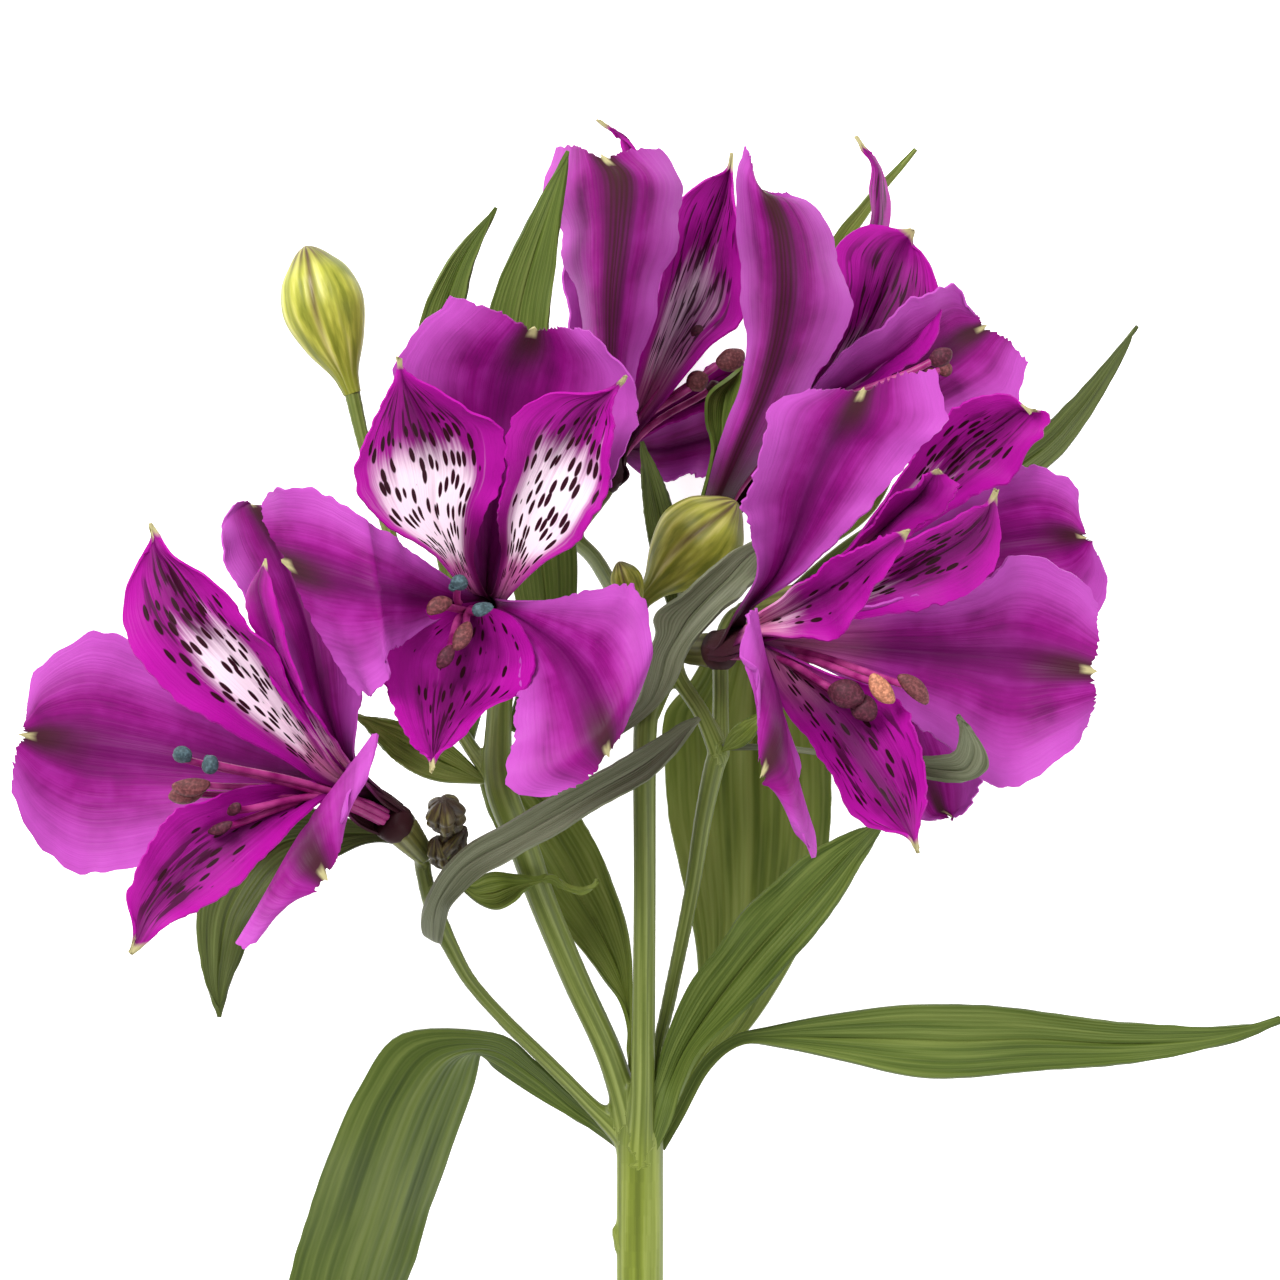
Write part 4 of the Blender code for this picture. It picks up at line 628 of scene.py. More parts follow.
def leaf_material(name):
    """Alstroemeria leaf: a waxy green blade with parallel veins about 1 mm apart and a soft gloss."""
    made, tree, shader = new_material(name, 0.5, 0.2)
    dark, middle, light = (linear(code) for code in LEAF_COLOURS[name])
    across = add(tree, "ShaderNodeAttribute", attribute_name="across").outputs["Fac"]
    along = add(tree, "ShaderNodeAttribute", attribute_name="along").outputs["Fac"]
    seed = add(tree, "ShaderNodeAttribute", attribute_name="seed").outputs["Fac"]
    side = add(tree, "ShaderNodeMath", {0: across}, operation="ABSOLUTE").outputs[0]
    wide = add(tree, "ShaderNodeMath", {0: across, 1: 5.0}, operation="MULTIPLY").outputs[0]
    slow = add(tree, "ShaderNodeMath", {0: along, 1: 3.0}, operation="MULTIPLY").outputs[0]
    place = add(tree, "ShaderNodeCombineXYZ", {0: wide, 1: slow, 2: seed}).outputs[0]
    patch = add(tree, "ShaderNodeTexNoise", {"Vector": place, "Scale": 1.0, "Detail": 4.0}).outputs[0]
    colour = add(tree, "ShaderNodeValToRGB", {"Fac": patch},
                 stops=((0.25, dark), (0.50, middle), (0.85, light))).outputs["Color"]
    count = add(tree, "ShaderNodeMath", {0: across, 1: 50.0}, operation="MULTIPLY").outputs[0]
    veins = add(tree, "ShaderNodeMath", {0: count}, operation="SINE").outputs[0]
    faint = add(tree, "ShaderNodeMapRange", {0: veins, 1: 0.3, 2: 1.0, 3: 0.0, 4: 0.22}).outputs[0]
    colour = add(tree, "ShaderNodeMix", {0: faint, 6: colour, 7: light}, data_type="RGBA").outputs[2]
    midrib = add(tree, "ShaderNodeMapRange", {0: side, 1: 0.02, 2: 0.08, 3: 0.55, 4: 0.0}).outputs[0]
    colour = add(tree, "ShaderNodeMix", {0: midrib, 6: colour, 7: light}, data_type="RGBA").outputs[2]
    relief = add(tree, "ShaderNodeMath", {0: veins, 1: 0.12, 2: patch}, operation="MULTIPLY_ADD").outputs[0]
    bump = add(tree, "ShaderNodeBump", {"Strength": 0.4, "Distance": 0.0005, "Height": relief}).outputs[0]
    tree.links.new(bump, shader.inputs["Normal"])
    tree.links.new(colour, shader.inputs["Base Color"])
    through_light = add(tree, "ShaderNodeBsdfTranslucent", {"Color": colour}).outputs[0]
    mixed = add(tree, "ShaderNodeMixShader", {0: 0.12, 1: shader.outputs[0], 2: through_light}).outputs[0]
    tree.links.new(mixed, tree.nodes["Material Output"].inputs["Surface"])
    return made


def stem_material():
    """Green stem: a smooth waxy skin with fine lengthwise lines, olive at the rays and brown-red where
    the ovaries carry the flowers."""
    made, tree, shader = new_material("green stem", 0.42, 0.25)
    turn_x = add(tree, "ShaderNodeAttribute", attribute_name="turn_x").outputs["Fac"]
    turn_y = add(tree, "ShaderNodeAttribute", attribute_name="turn_y").outputs["Fac"]
    run = add(tree, "ShaderNodeAttribute", attribute_name="run_mm").outputs["Fac"]
    blush = add(tree, "ShaderNodeAttribute", attribute_name="blush").outputs["Fac"]
    stout = add(tree, "ShaderNodeAttribute", attribute_name="stout").outputs["Fac"]
    slow = add(tree, "ShaderNodeMath", {0: run, 1: 0.01}, operation="MULTIPLY").outputs[0]
    place = add(tree, "ShaderNodeCombineXYZ", {0: turn_x, 1: turn_y, 2: slow}).outputs[0]
    grain = add(tree, "ShaderNodeTexNoise", {"Vector": place, "Scale": 3.0, "Detail": 4.0}).outputs[0]
    thin = add(tree, "ShaderNodeValToRGB", {"Fac": grain},
               stops=((0.3, linear("424E18")), (0.5, linear("5C682A")), (0.7, linear("7A8446")))).outputs[0]
    thick = add(tree, "ShaderNodeValToRGB", {"Fac": grain},
                stops=((0.3, linear("545F1C")), (0.5, linear("6C7828")), (0.7, linear("858F42")))).outputs[0]
    colour = add(tree, "ShaderNodeMix", {0: stout, 6: thin, 7: thick}, data_type="RGBA").outputs[2]
    brown = add(tree, "ShaderNodeValToRGB", {"Fac": grain},
                stops=((0.3, linear("3A3418")), (0.5, linear("545028")), (0.7, linear("76743C")))).outputs[0]
    colour = add(tree, "ShaderNodeMix", {0: blush, 6: colour, 7: brown}, data_type="RGBA").outputs[2]
    bump = add(tree, "ShaderNodeBump", {"Strength": 0.4, "Distance": 0.0004, "Height": grain}).outputs[0]
    tree.links.new(bump, shader.inputs["Normal"])
    tree.links.new(colour, shader.inputs["Base Color"])
    return made


def bud_material(name, dark, middle, light, tip_colour):
    """Flower bud: waxy, with pale ribs between darker veins, and a brown flush at the point."""
    made, tree, shader = new_material(name, 0.42, 0.3)
    along, seam, vein, turn_x, turn_y = (add(tree, "ShaderNodeAttribute", attribute_name=key).outputs["Fac"]
                                         for key in ("along", "seam", "vein", "turn_x", "turn_y"))
    slow = add(tree, "ShaderNodeMath", {0: along, 1: 0.8}, operation="MULTIPLY").outputs[0]
    place = add(tree, "ShaderNodeCombineXYZ", {0: turn_x, 1: turn_y, 2: slow}).outputs[0]
    patch = add(tree, "ShaderNodeTexNoise", {"Vector": place, "Scale": 2.6, "Detail": 4.0}).outputs[0]
    colour = add(tree, "ShaderNodeValToRGB", {"Fac": patch},
                 stops=((0.35, linear(dark)), (0.5, linear(middle)), (0.66, linear(light)))).outputs[0]
    lines = add(tree, "ShaderNodeMath", {0: patch, 1: 1.6, 2: vein}, operation="MULTIPLY_ADD").outputs[0]
    faint = add(tree, "ShaderNodeMapRange", {0: lines, 1: 1.0, 2: 1.9, 3: 0.0, 4: 0.75}).outputs[0]
    colour = add(tree, "ShaderNodeMix", {0: faint, 6: colour, 7: linear(dark)}, data_type="RGBA").outputs[2]
    brown = add(tree, "ShaderNodeMapRange", {0: along, 1: 0.3, 2: 0.6, 3: 0.3, 4: 0.85}).outputs[0]
    brown = add(tree, "ShaderNodeMath", {0: seam, 1: brown}, operation="MULTIPLY").outputs[0]
    colour = add(tree, "ShaderNodeMix", {0: brown, 6: colour, 7: linear(tip_colour)}, data_type="RGBA").outputs[2]
    foot = add(tree, "ShaderNodeMapRange", {0: along, 1: 0.08, 2: 0.34, 3: 0.8, 4: 0.0},
               interpolation_type="SMOOTHSTEP").outputs[0]
    colour = add(tree, "ShaderNodeMix", {0: foot, 6: colour, 7: linear(dark)}, data_type="RGBA").outputs[2]
    tip = add(tree, "ShaderNodeMapRange", {0: along, 1: 0.80, 2: 0.98, 3: 0.0, 4: 0.85},
              interpolation_type="SMOOTHSTEP").outputs[0]
    ridge = add(tree, "ShaderNodeMapRange", {0: lines, 1: 0.4, 2: 1.6, 3: 0.5, 4: 1.0}).outputs[0]
    tip = add(tree, "ShaderNodeMath", {0: tip, 1: ridge}, operation="MULTIPLY").outputs[0]
    colour = add(tree, "ShaderNodeMix", {0: tip, 6: colour, 7: linear(tip_colour)}, data_type="RGBA").outputs[2]
    bump = add(tree, "ShaderNodeBump", {"Strength": 0.5, "Distance": 0.0006, "Height": patch}).outputs[0]
    tree.links.new(bump, shader.inputs["Normal"])
    tree.links.new(colour, shader.inputs["Base Color"])
    return made


def pollen_material(name):
    """Pollen on an anther: a dry powder with no gloss, mottled at the size of its grains, 0.2 mm."""
    made, tree, shader = new_material(name + " pollen", 0.65, 0.3)
    shade = linear(POLLEN_COLOURS[name])
    place = add(tree, "ShaderNodeTexCoord").outputs["Object"]
    grain = add(tree, "ShaderNodeTexNoise", {"Vector": place, "Scale": 2200.0, "Detail": 2.0}).outputs[0]
    lighter = tuple(value * 1.7 + 0.01 for value in shade[:3]) + (1.0,)
    darker = tuple(value * 0.65 for value in shade[:3]) + (1.0,)
    colour = add(tree, "ShaderNodeValToRGB", {"Fac": grain},
                 stops=((0.35, darker), (0.5, shade), (0.7, lighter))).outputs[0]
    bump = add(tree, "ShaderNodeBump", {"Strength": 0.3, "Distance": 0.0002, "Height": grain}).outputs[0]
    tree.links.new(bump, shader.inputs["Normal"])
    tree.links.new(colour, shader.inputs["Base Color"])
    return made


def filament_material():
    """Filament: a smooth moist thread, magenta and finely mottled."""
    made, tree, shader = new_material("filament", 0.4, 0.25)
    place = add(tree, "ShaderNodeTexCoord").outputs["Object"]
    grain = add(tree, "ShaderNodeTexNoise", {"Vector": place, "Scale": 300.0, "Detail": 2.0}).outputs[0]
    colour = add(tree, "ShaderNodeValToRGB", {"Fac": grain},
                 stops=((0.35, linear("7A0C56")), (0.65, linear("A83C7E")))).outputs[0]
    tree.links.new(colour, shader.inputs["Base Color"])
    return made


def unit(values):
    return values / np.maximum(np.linalg.norm(values, axis=-1, keepdims=True), 1e-9)


def seen(across, down, height):
    """The place in millimetres, from the part's middle, of what is seen there at that height."""
    step = VIEW_STEP * (VIEW_HEIGHT - height) / (VIEW_HEIGHT - NODE_HEIGHT)
    ahead = VIEW_AHEAD + (PICTURE_MIDDLE - down) * step
    return np.array(((across - PICTURE_MIDDLE) * step, ahead, height)) + ORIGIN


def through(points, steps=12):
    """A smooth curve through the points, as a fine line of them."""
    points = np.array(points, float)
    points = np.vstack([2 * points[0] - points[1], points, 2 * points[-1] - points[-2]])
    u = (np.arange(steps) / steps)[:, None]
    line = []
    for before, start, end, after in zip(points, points[1:], points[2:], points[3:]):
        line.append(0.5 * (2 * start + (end - before) * u + (2 * before - 5 * start + 4 * end - after) * u ** 2
                           + (3 * start - before - 3 * end + after) * u ** 3))
    return np.vstack(line + [points[-2:-1]])


def evenly(line, count, by=None):
    """The line again with its points evenly spaced, by its own length or that of its columns by."""
    guide = line if by is None else line[:, by]
    run = np.r_[0, np.cumsum(np.linalg.norm(np.diff(guide, axis=0), axis=1))]
    wanted = np.linspace(0, run[-1], count)
    return np.stack([np.interp(wanted, run, line[:, k]) for k in range(line.shape[1])], axis=1)


def wander(values, rng, waves=5):
    """A smooth random wave of the values, from about -1 to 1, with some 1 to waves turns in each unit."""
    total = 0
    for turns in range(1, waves + 1):
        total = total + np.sin(2 * math.pi * (turns * values * rng.uniform(0.8, 1.2) + rng.random()))
    return total / math.sqrt(waves)


def blade_grid(lines, rows, columns, crease):
    """Points of a blade in rows from its foot to its tip. lines holds the left edge, midrib and right edge
    side by side, and crease is how far the two halves stay flat, from 0 for a round blade to 1."""
    left, middle, right = (evenly(lines, rows, slice(3, 6))[:, None, k:k + 3] for k in (0, 3, 6))
    u = np.linspace(-1, 1, columns)[None, :, None]
    rounded = left * u * (u - 1) / 2 + middle * (1 - u * u) + right * u * (u + 1) / 2
    folded = middle + np.abs(u) * (np.where(u < 0, left, right) - middle)
    return rounded * (1 - crease) + folded * crease


def grid_normals(grid):
    return unit(np.cross(np.gradient(grid, axis=1), np.gradient(grid, axis=0)))


def ruffled(grid, rng, ruffle, erose, lobe):
    """Waves the margins of a blade, frets its edge and, on a broad tepal, rounds the lobes at its end."""
    rows, columns = grid.shape[:2]
    along = np.linspace(0, 1, rows)[:, None]
    across = np.linspace(-1, 1, columns)[None, :]
    normal = grid_normals(grid)
    outward = unit(np.gradient(grid, axis=1))
    onward = unit(np.gradient(grid, axis=0))
    far = np.clip((along - 0.32) / 0.3, 0, 1)
    for side in (-1, 1):
        share = np.clip(side * across, 0, 1)
        wave = wander(along, rng, 6)
        fret = wander(along * 4, rng, 7)
        grid = grid + normal * (ruffle * wave * share ** 2.5 * far)[..., None]
        grid = grid + outward * (side * erose * fret * share ** 8 * far)[..., None]
    ending = np.clip((along - 0.86) / 0.14, 0, 1)
    shift = lobe * np.sin(math.pi * np.abs(across)) * ending ** 2
    shift = shift + erose * wander(across * 3, rng, 7) * ending ** 5
    shift = shift + 1.2 * np.exp(-(across / 0.04) ** 2) * ending ** 6 * (lobe > 0)
    grid = grid + onward * shift[..., None]
    # A groove runs along the midrib.
    groove = 0.3 * np.exp(-(across / 0.07) ** 2) * np.clip(along / 0.2, 0, 1) * (1 - ending)
    return grid - normal * groove[..., None]


def add_mesh(name, points, faces, materials, facts=None):
    """A mesh object from points in millimetres, with named numbers on its points."""
    mesh = bpy.data.meshes.new(name)
    mesh.from_pydata((np.asarray(points) * MM).tolist(), [], faces)
    for key, values in (facts or {}).items():
        mesh.attributes.new(key, "FLOAT", "POINT").data.foreach_set("value", np.ravel(values).astype(np.float32))
    for material in materials:
        mesh.materials.append(material)
    made = bpy.data.objects.new(name, mesh)
    bpy.context.scene.collection.objects.link(made)
    return made


def grid_faces(rows, columns, flip=False):
    faces = []
    for i in range(rows - 1):
        for j in range(columns - 1):
            a = i * columns + j
            face = (a, a + 1, a + columns + 1, a + columns)
            faces.append(face[::-1] if flip else face)
    return faces


def blade(name, grid, thickness, materials, seed, look_at=None, marks=None):
    """A thin blade from its grid. Its first face looks at the place look_at, or up, and gets the first
    material, and the other face the second. marks are more numbers to keep on its points."""
    rows, columns = grid.shape[:2]
    normal = grid_normals(grid)
    middle = grid[rows // 2:].reshape(-1, 3).mean(axis=0)
    aim = unit(normal[rows // 3:].reshape(-1, 3).mean(axis=0))
    wanted = np.array((0.0, 0.0, 1.0)) if look_at is None else look_at - middle
    flip = np.dot(aim, wanted) < 0
    across = np.broadcast_to(np.linspace(-1, 1, columns)[None, :], (rows, columns))
    along = np.broadcast_to(np.linspace(0, 1, rows)[:, None], (rows, columns))
    half = np.linalg.norm(np.diff(grid, axis=1), axis=2).sum(axis=1)[:, None] / 2
    steps = np.linalg.norm(np.diff(grid[:, columns // 2], axis=0), axis=1)
    run = np.broadcast_to(np.r_[0, np.cumsum(steps)][:, None], (rows, columns))
    facts = {"across": across, "along": along, "spread_mm": across * half.max(), "run_mm": run,
             "seed": np.full((rows, columns), seed), **(marks or {})}
    made = add_mesh(name, grid.reshape(-1, 3), grid_faces(rows, columns, flip), materials, facts)
    walls = made.modifiers.new("thickness", "SOLIDIFY")
    walls.thickness = thickness * MM
    walls.offset = 0
    walls.material_offset = len(materials) - 1
    return made


def joined(name, pieces):
    """One plain mesh from several objects, with their modifiers applied."""
    bpy.context.view_layer.update()
    graph = bpy.context.evaluated_depsgraph_get()
    meshes = [bpy.data.meshes.new_from_object(piece.evaluated_get(graph)) for piece in pieces]
    for piece, mesh in zip(pieces, meshes):
        piece.modifiers.clear()
        piece.data = mesh
    with bpy.context.temp_override(active_object=pieces[0], selected_editable_objects=pieces):
        bpy.ops.object.join()
    pieces[0].name = name
    pieces[0].data.name = name
    pieces[0].data.shade_smooth()
    pieces[0].data.set_sharp_from_angle(angle=math.radians(60))
    return pieces[0]


def settle(piece, node):
    """The piece rides on the plant and stands in for its CAD node, which is hidden."""
    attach(piece, "root")
    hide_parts(node)


def claw_rows(first, base, axis, ring, wrap):
    """Two rows from the receptacle up to a tepal's first row, wrapped round the axis by an angle to each
    side, with the tepal's left and right kept."""
    left, middle, right = first[:3], first[3:6], first[6:]
    outward = middle - base
    height = np.dot(outward, axis)
    outward = unit(outward - height * axis)
    side = right - left
    side = unit(side - np.dot(side, axis) * axis - np.dot(side, outward) * outward)
    rows = []
    for share, reach in ((0.0, ring), (0.4, ring + 0.4)):
        place = base + axis * (1.0 + (height - 1.0) * share)
        away = outward * math.cos(wrap) * reach
        aside = side * math.sin(wrap) * reach
        rows.append(np.r_[place + away - aside, place + outward * reach, place + away + aside])
    return rows


def pointed_end(rows):
    """A last row that draws a narrow tepal out into its thin point."""
    left, middle, right = rows[-1][:3], rows[-1][3:6], rows[-1][6:]
    onward = unit(middle - rows[-2][3:6])
    place = middle + onward * POINT_LENGTH
    aside = unit(right - left) * POINT_HALF_WIDTH
    return np.r_[place - aside, place, place + aside]


def rising(values, low, high):
    """0 below low, 1 above high, and a soft rise between."""
    share = np.clip((values - low) / (high - low), 0, 1)
    return share * share * (3 - 2 * share)


def tepal_marks(kind, rows, columns):
    """The numbers on an inner tepal's points that say what it wears there, and where painted shade darkens its inner
    edge.
    """
    marks = MARKS[kind]
    across = np.linspace(-1, 1, columns)[None, :]
    along = np.linspace(0, 1, rows)[:, None]
    off = np.abs(across - marks["centre"])
    near = 1 - rising(off, marks["reach"] - 0.55, marks["reach"])
    start, end = marks["start"], marks["end"]
    body = rising(along, start, start + 0.18) * (1 - rising(along, end - 0.30, end))
    foot = rising(along, 0.12, 0.20) * (1 - rising(along, start + 0.06, start + 0.32))
    spots = rising(along, 0.20, 0.32) * (1 - rising(along, 0.76, 0.90)) * (1 - rising(off, 0.6, 0.9))
    lines = rising(along, marks["lines_from"], marks["lines_from"] + 0.08)
    lines = lines * (1 - rising(along, 0.88, 0.96)) * (1 - rising(off, marks["reach"] - 0.4, marks["reach"]))
    # Painted shade along the inner edge, fading out past the middle of the tepal.
    dark = rising(across * marks["dark"], 0.20, 0.90) * (1 - rising(along, 0.42, 0.62))
    return {"pale": marks["pale"] * body * near, "pink": marks["pink"] * foot * near,
            "spots": marks["spots"] * spots, "lines": marks["lines"] * lines, "dark": dark * 0.85}


def tepal(name, kind, rows, base, axis, materials, rng):
    rows = [np.concatenate([seen(*row[k:k + 3]) for k in (0, 3, 6)]) for row in rows]
    outer = kind in OUTER_KINDS
    if not outer:
        rows.append(pointed_end(rows))
    ring = "outer" if outer else "inner"
    claws = claw_rows(rows[0], base, axis, CLAW_RINGS[ring], math.radians(CLAW_WRAPS[ring]))
    grid = blade_grid(through(claws + rows), TEPAL_ROWS, TEPAL_COLUMNS, 0.25 if outer else 0.4)
    grid = ruffled(grid, rng, 0.8, 0.3, 1.2) if outer else ruffled(grid, rng, 0.55, 0.24, 0.0)
    marks = tepal_marks(kind, TEPAL_ROWS, TEPAL_COLUMNS)
    grid[..., 2] = np.maximum(grid[..., 2], TEPAL_THICKNESS / 2)
    mouth = base + axis * 34
    return blade(name, grid, TEPAL_THICKNESS, materials, rng.uniform(0, 40), mouth, marks)


def ring_body(name, line, radii, count, materials, ridges=0, ridge=0.0, groove=0.0, twist=0.0, floor=False):
    """A closed round body along a line, with its run, turn and seams kept on its points."""
    line = np.asarray(line, float)
    points, facts = [], {key: [] for key in ("along", "seam", "vein", "turn_x", "turn_y", "run_mm")}
    tangent = unit(line[1] - line[0])
    side = unit(np.cross(tangent, (0.0, 0.0, 1.0) if abs(tangent[2]) < 0.9 else (1.0, 0.0, 0.0)))
    run = np.r_[0, np.cumsum(np.linalg.norm(np.diff(line, axis=0), axis=1))]
    for i, (place, radius) in enumerate(zip(line, radii)):
        tangent = unit(line[min(i + 1, len(line) - 1)] - line[max(i - 1, 0)])
        side = unit(side - np.dot(side, tangent) * tangent)
        up = np.cross(side, tangent)
        share = run[i] / run[-1]
        for k in range(count):
            angle = 2 * math.pi * k / count
            spoke = ridges * (angle + twist * share)
            seam = np.exp(-(np.sin(spoke / 2) / 0.14) ** 2) if ridges else 0.0
            reach = radius * (1 - ridge * math.cos(spoke) - groove * seam)
            point = place + reach * (math.cos(angle) * side + math.sin(angle) * up)
            points.append((point[0], point[1], max(point[2], 0)) if floor else point)
            noted = (share, seam, math.cos(VEINS * angle + twist * share * 3), math.cos(angle), math.sin(angle), run[i])
            for key, value in zip(facts, noted):
                facts[key].append(value)
    faces = []
    for i in range(len(line) - 1):
        for k in range(count):
            a, b = i * count + k, i * count + (k + 1) % count
            faces.append((a, b, b + count, a + count))
    last = (len(line) - 1) * count
    faces += [tuple(range(count))[::-1], tuple(range(last, last + count))]
    made = add_mesh(name, points, faces, materials, facts)
    shell = bmesh.new()
    shell.from_mesh(made.data)
    bmesh.ops.recalc_face_normals(shell, faces=shell.faces)
    shell.to_mesh(made.data)
    shell.free()
    return made


def flower(name, facts, materials, rng):
    base = seen(*facts["base"])
    axis = unit(np.array(facts["axis"], float))
    line = [base + axis * RECEPTACLE_HEIGHT * share for share in (-0.3, 0.1, 0.6, 1)]
    pieces = [ring_body(name + "_receptacle", line, (2.5, 3.0, 3.0, 2.4), 36, [materials["outer"][1]], 6, 0.03)]
    foot = pieces[0].data.attributes["along"].data
    foot.foreach_set("value", np.zeros(len(foot), np.float32))
    for number, (kind, rows) in enumerate(facts["tepals"]):
        skin = materials["outer" if kind in OUTER_KINDS else "inner"]
        if kind == "blushed":
            skin = skin[:1] * 2
        pieces.append(tepal(f"{name}_tepal_{number}", kind, rows, base, axis, skin, rng))
    settle(joined(name + "_tepals", pieces), "flower_" + name)


def round_threads(name, paths, radius, material):
    """Threads along several paths. A Geometry Nodes tree turns each path into a round thread."""
    points, edges = [], []
    for path in paths:
        edges += [(len(points) + k, len(points) + k + 1) for k in range(len(path) - 1)]
        points += list(path)
    mesh = bpy.data.meshes.new(name)
    mesh.from_pydata((np.array(points) * MM).tolist(), edges, [])
    made = bpy.data.objects.new(name, mesh)
    bpy.context.scene.collection.objects.link(made)
    tree = bpy.data.node_groups.new("round threads", "GeometryNodeTree")
    face = tree.interface
    face.new_socket("Geometry", in_out="INPUT", socket_type="NodeSocketGeometry")
    thick = face.new_socket("Thread radius", in_out="INPUT", socket_type="NodeSocketFloat")
    face.new_socket("Geometry", in_out="OUTPUT", socket_type="NodeSocketGeometry")
    given = add(tree, "NodeGroupInput")
    curve = add(tree, "GeometryNodeMeshToCurve", {"Mesh": given.outputs["Geometry"]}).outputs[0]
    share = add(tree, "GeometryNodeSplineParameter").outputs["Factor"]
    taper = add(tree, "ShaderNodeMapRange", {0: share, 1: 0.0, 2: 1.0, 3: 1.2, 4: 0.75}).outputs[0]
    ring = add(tree, "GeometryNodeCurvePrimitiveCircle",
               {"Resolution": 10, "Radius": given.outputs["Thread radius"]}).outputs[0]
    tapered = add(tree, "GeometryNodeSetCurveRadius", {"Curve": curve, "Radius": taper}).outputs[0]
    skin = add(tree, "GeometryNodeCurveToMesh",
               {"Curve": tapered, "Profile Curve": ring, "Fill Caps": True}).outputs[0]
    real = add(tree, "GeometryNodeRealizeInstances", {"Geometry": skin}).outputs[0]
    finish = add(tree, "GeometryNodeSetMaterial", {"Geometry": real, "Material": material}).outputs[0]
    add(tree, "NodeGroupOutput", {"Geometry": finish})
    grown = made.modifiers.new("threads", "NODES")
    grown.node_group = tree
    grown[thick.identifier] = radius * MM
    return plain(made)


def plain(made):
    """The object with what its modifiers make kept as its own mesh."""
    bpy.context.view_layer.update()
    graph = bpy.context.evaluated_depsgraph_get()
    mesh = bpy.data.meshes.new_from_object(made.evaluated_get(graph))
    made.modifiers.clear()
    made.data = mesh
    return made


def dusted(made, seed, amount, material):
    """Pollen grains over an anther, by a Geometry Nodes tree that scatters small balls on its skin."""
    tree = bpy.data.node_groups.new("pollen grains", "GeometryNodeTree")
    face = tree.interface
    face.new_socket("Geometry", in_out="INPUT", socket_type="NodeSocketGeometry")
    size = face.new_socket("Grain radius", in_out="INPUT", socket_type="NodeSocketFloat")
    density = face.new_socket("Grains per square metre", in_out="INPUT", socket_type="NodeSocketFloat")
    chance = face.new_socket("Seed", in_out="INPUT", socket_type="NodeSocketInt")
    face.new_socket("Geometry", in_out="OUTPUT", socket_type="NodeSocketGeometry")
    given = add(tree, "NodeGroupInput")
    spots = add(tree, "GeometryNodeDistributePointsOnFaces",
                {"Mesh": given.outputs["Geometry"], "Density": given.outputs["Grains per square metre"],
                 "Seed": given.outputs["Seed"]}).outputs["Points"]
    ball = add(tree, "GeometryNodeMeshIcoSphere",
               {"Radius": given.outputs["Grain radius"], "Subdivisions": 1}).outputs[0]
    grains = add(tree, "GeometryNodeInstanceOnPoints", {"Points": spots, "Instance": ball}).outputs[0]
    real = add(tree, "GeometryNodeRealizeInstances", {"Geometry": grains}).outputs[0]
    both = add(tree, "GeometryNodeJoinGeometry")
    tree.links.new(given.outputs["Geometry"], both.inputs[0])
    tree.links.new(real, both.inputs[0])
    finish = add(tree, "GeometryNodeSetMaterial", {"Geometry": both.outputs[0], "Material": material}).outputs[0]
    add(tree, "NodeGroupOutput", {"Geometry": finish})
    grown = made.modifiers.new("pollen", "NODES")
    grown.node_group = tree
    grown[size.identifier] = GRAIN_RADIUS * MM
    grown[density.identifier] = amount
    grown[chance.identifier] = seed
    return plain(made)


def stamens(name, facts, materials, rng):
    """Filaments from inside the claws to the anthers, each a two-lobed pollen sac."""
    base = seen(*facts["base"])
    axis = unit(np.array(facts["axis"], float))
    side = unit(np.cross(axis, (0.0, 1.0, 0.0) if abs(axis[1]) < 0.8 else (1.0, 0.0, 0.0)))
    other = np.cross(axis, side)
    paths, pieces = [], []
    count = len(facts["anthers"])
    for number, (ends, pollen) in enumerate(zip(facts["anthers"], facts["pollen"])):
        near, far, radius = seen(*ends[:3]), seen(*ends[3:6]), ends[6]
        angle = 2 * math.pi * number / count
        root = base + axis * (RECEPTACLE_HEIGHT + 0.4) + (side * math.cos(angle) + other * math.sin(angle)) * 0.9
        hold = near * 0.65 + far * 0.35
        reach = np.linalg.norm(hold - root)
        u = np.linspace(0, 1, 25)[:, None]
        a, b, c, d = root, root + axis * 0.5 * reach, hold - unit(hold - root) * 0.25 * reach, hold
        paths.append((1 - u) ** 3 * a + 3 * (1 - u) ** 2 * u * b + 3 * (1 - u) * u ** 2 * c + u ** 3 * d)
        # The sac bends a little, and a groove runs down each side.
        shares = 0.5 - 0.5 * np.cos(np.linspace(0, math.pi, 19))
        ahead = unit(far - near)
        bend = unit(np.cross(ahead, (0.0, 0.0, 1.0))) * radius * rng.uniform(-0.5, 0.5)
        line = [near + (far - near) * share + bend * math.sin(math.pi * share) for share in shares]
        radii = [radius * math.sin(math.pi * (0.02 + 0.96 * share)) ** 0.6 for share in shares]
        sac = ring_body(f"{name}_anther_{number}", line, radii, 28, [materials[pollen]], 2, -0.16, 0.1)
        pieces.append(dusted(sac, 10 + number, GRAINS[pollen], materials[pollen]))
    pieces.insert(0, round_threads(name + "_filaments", paths, FILAMENT_RADIUS, materials["filament"]))
    settle(joined(name + "_stamens", pieces), "stamens_" + name)


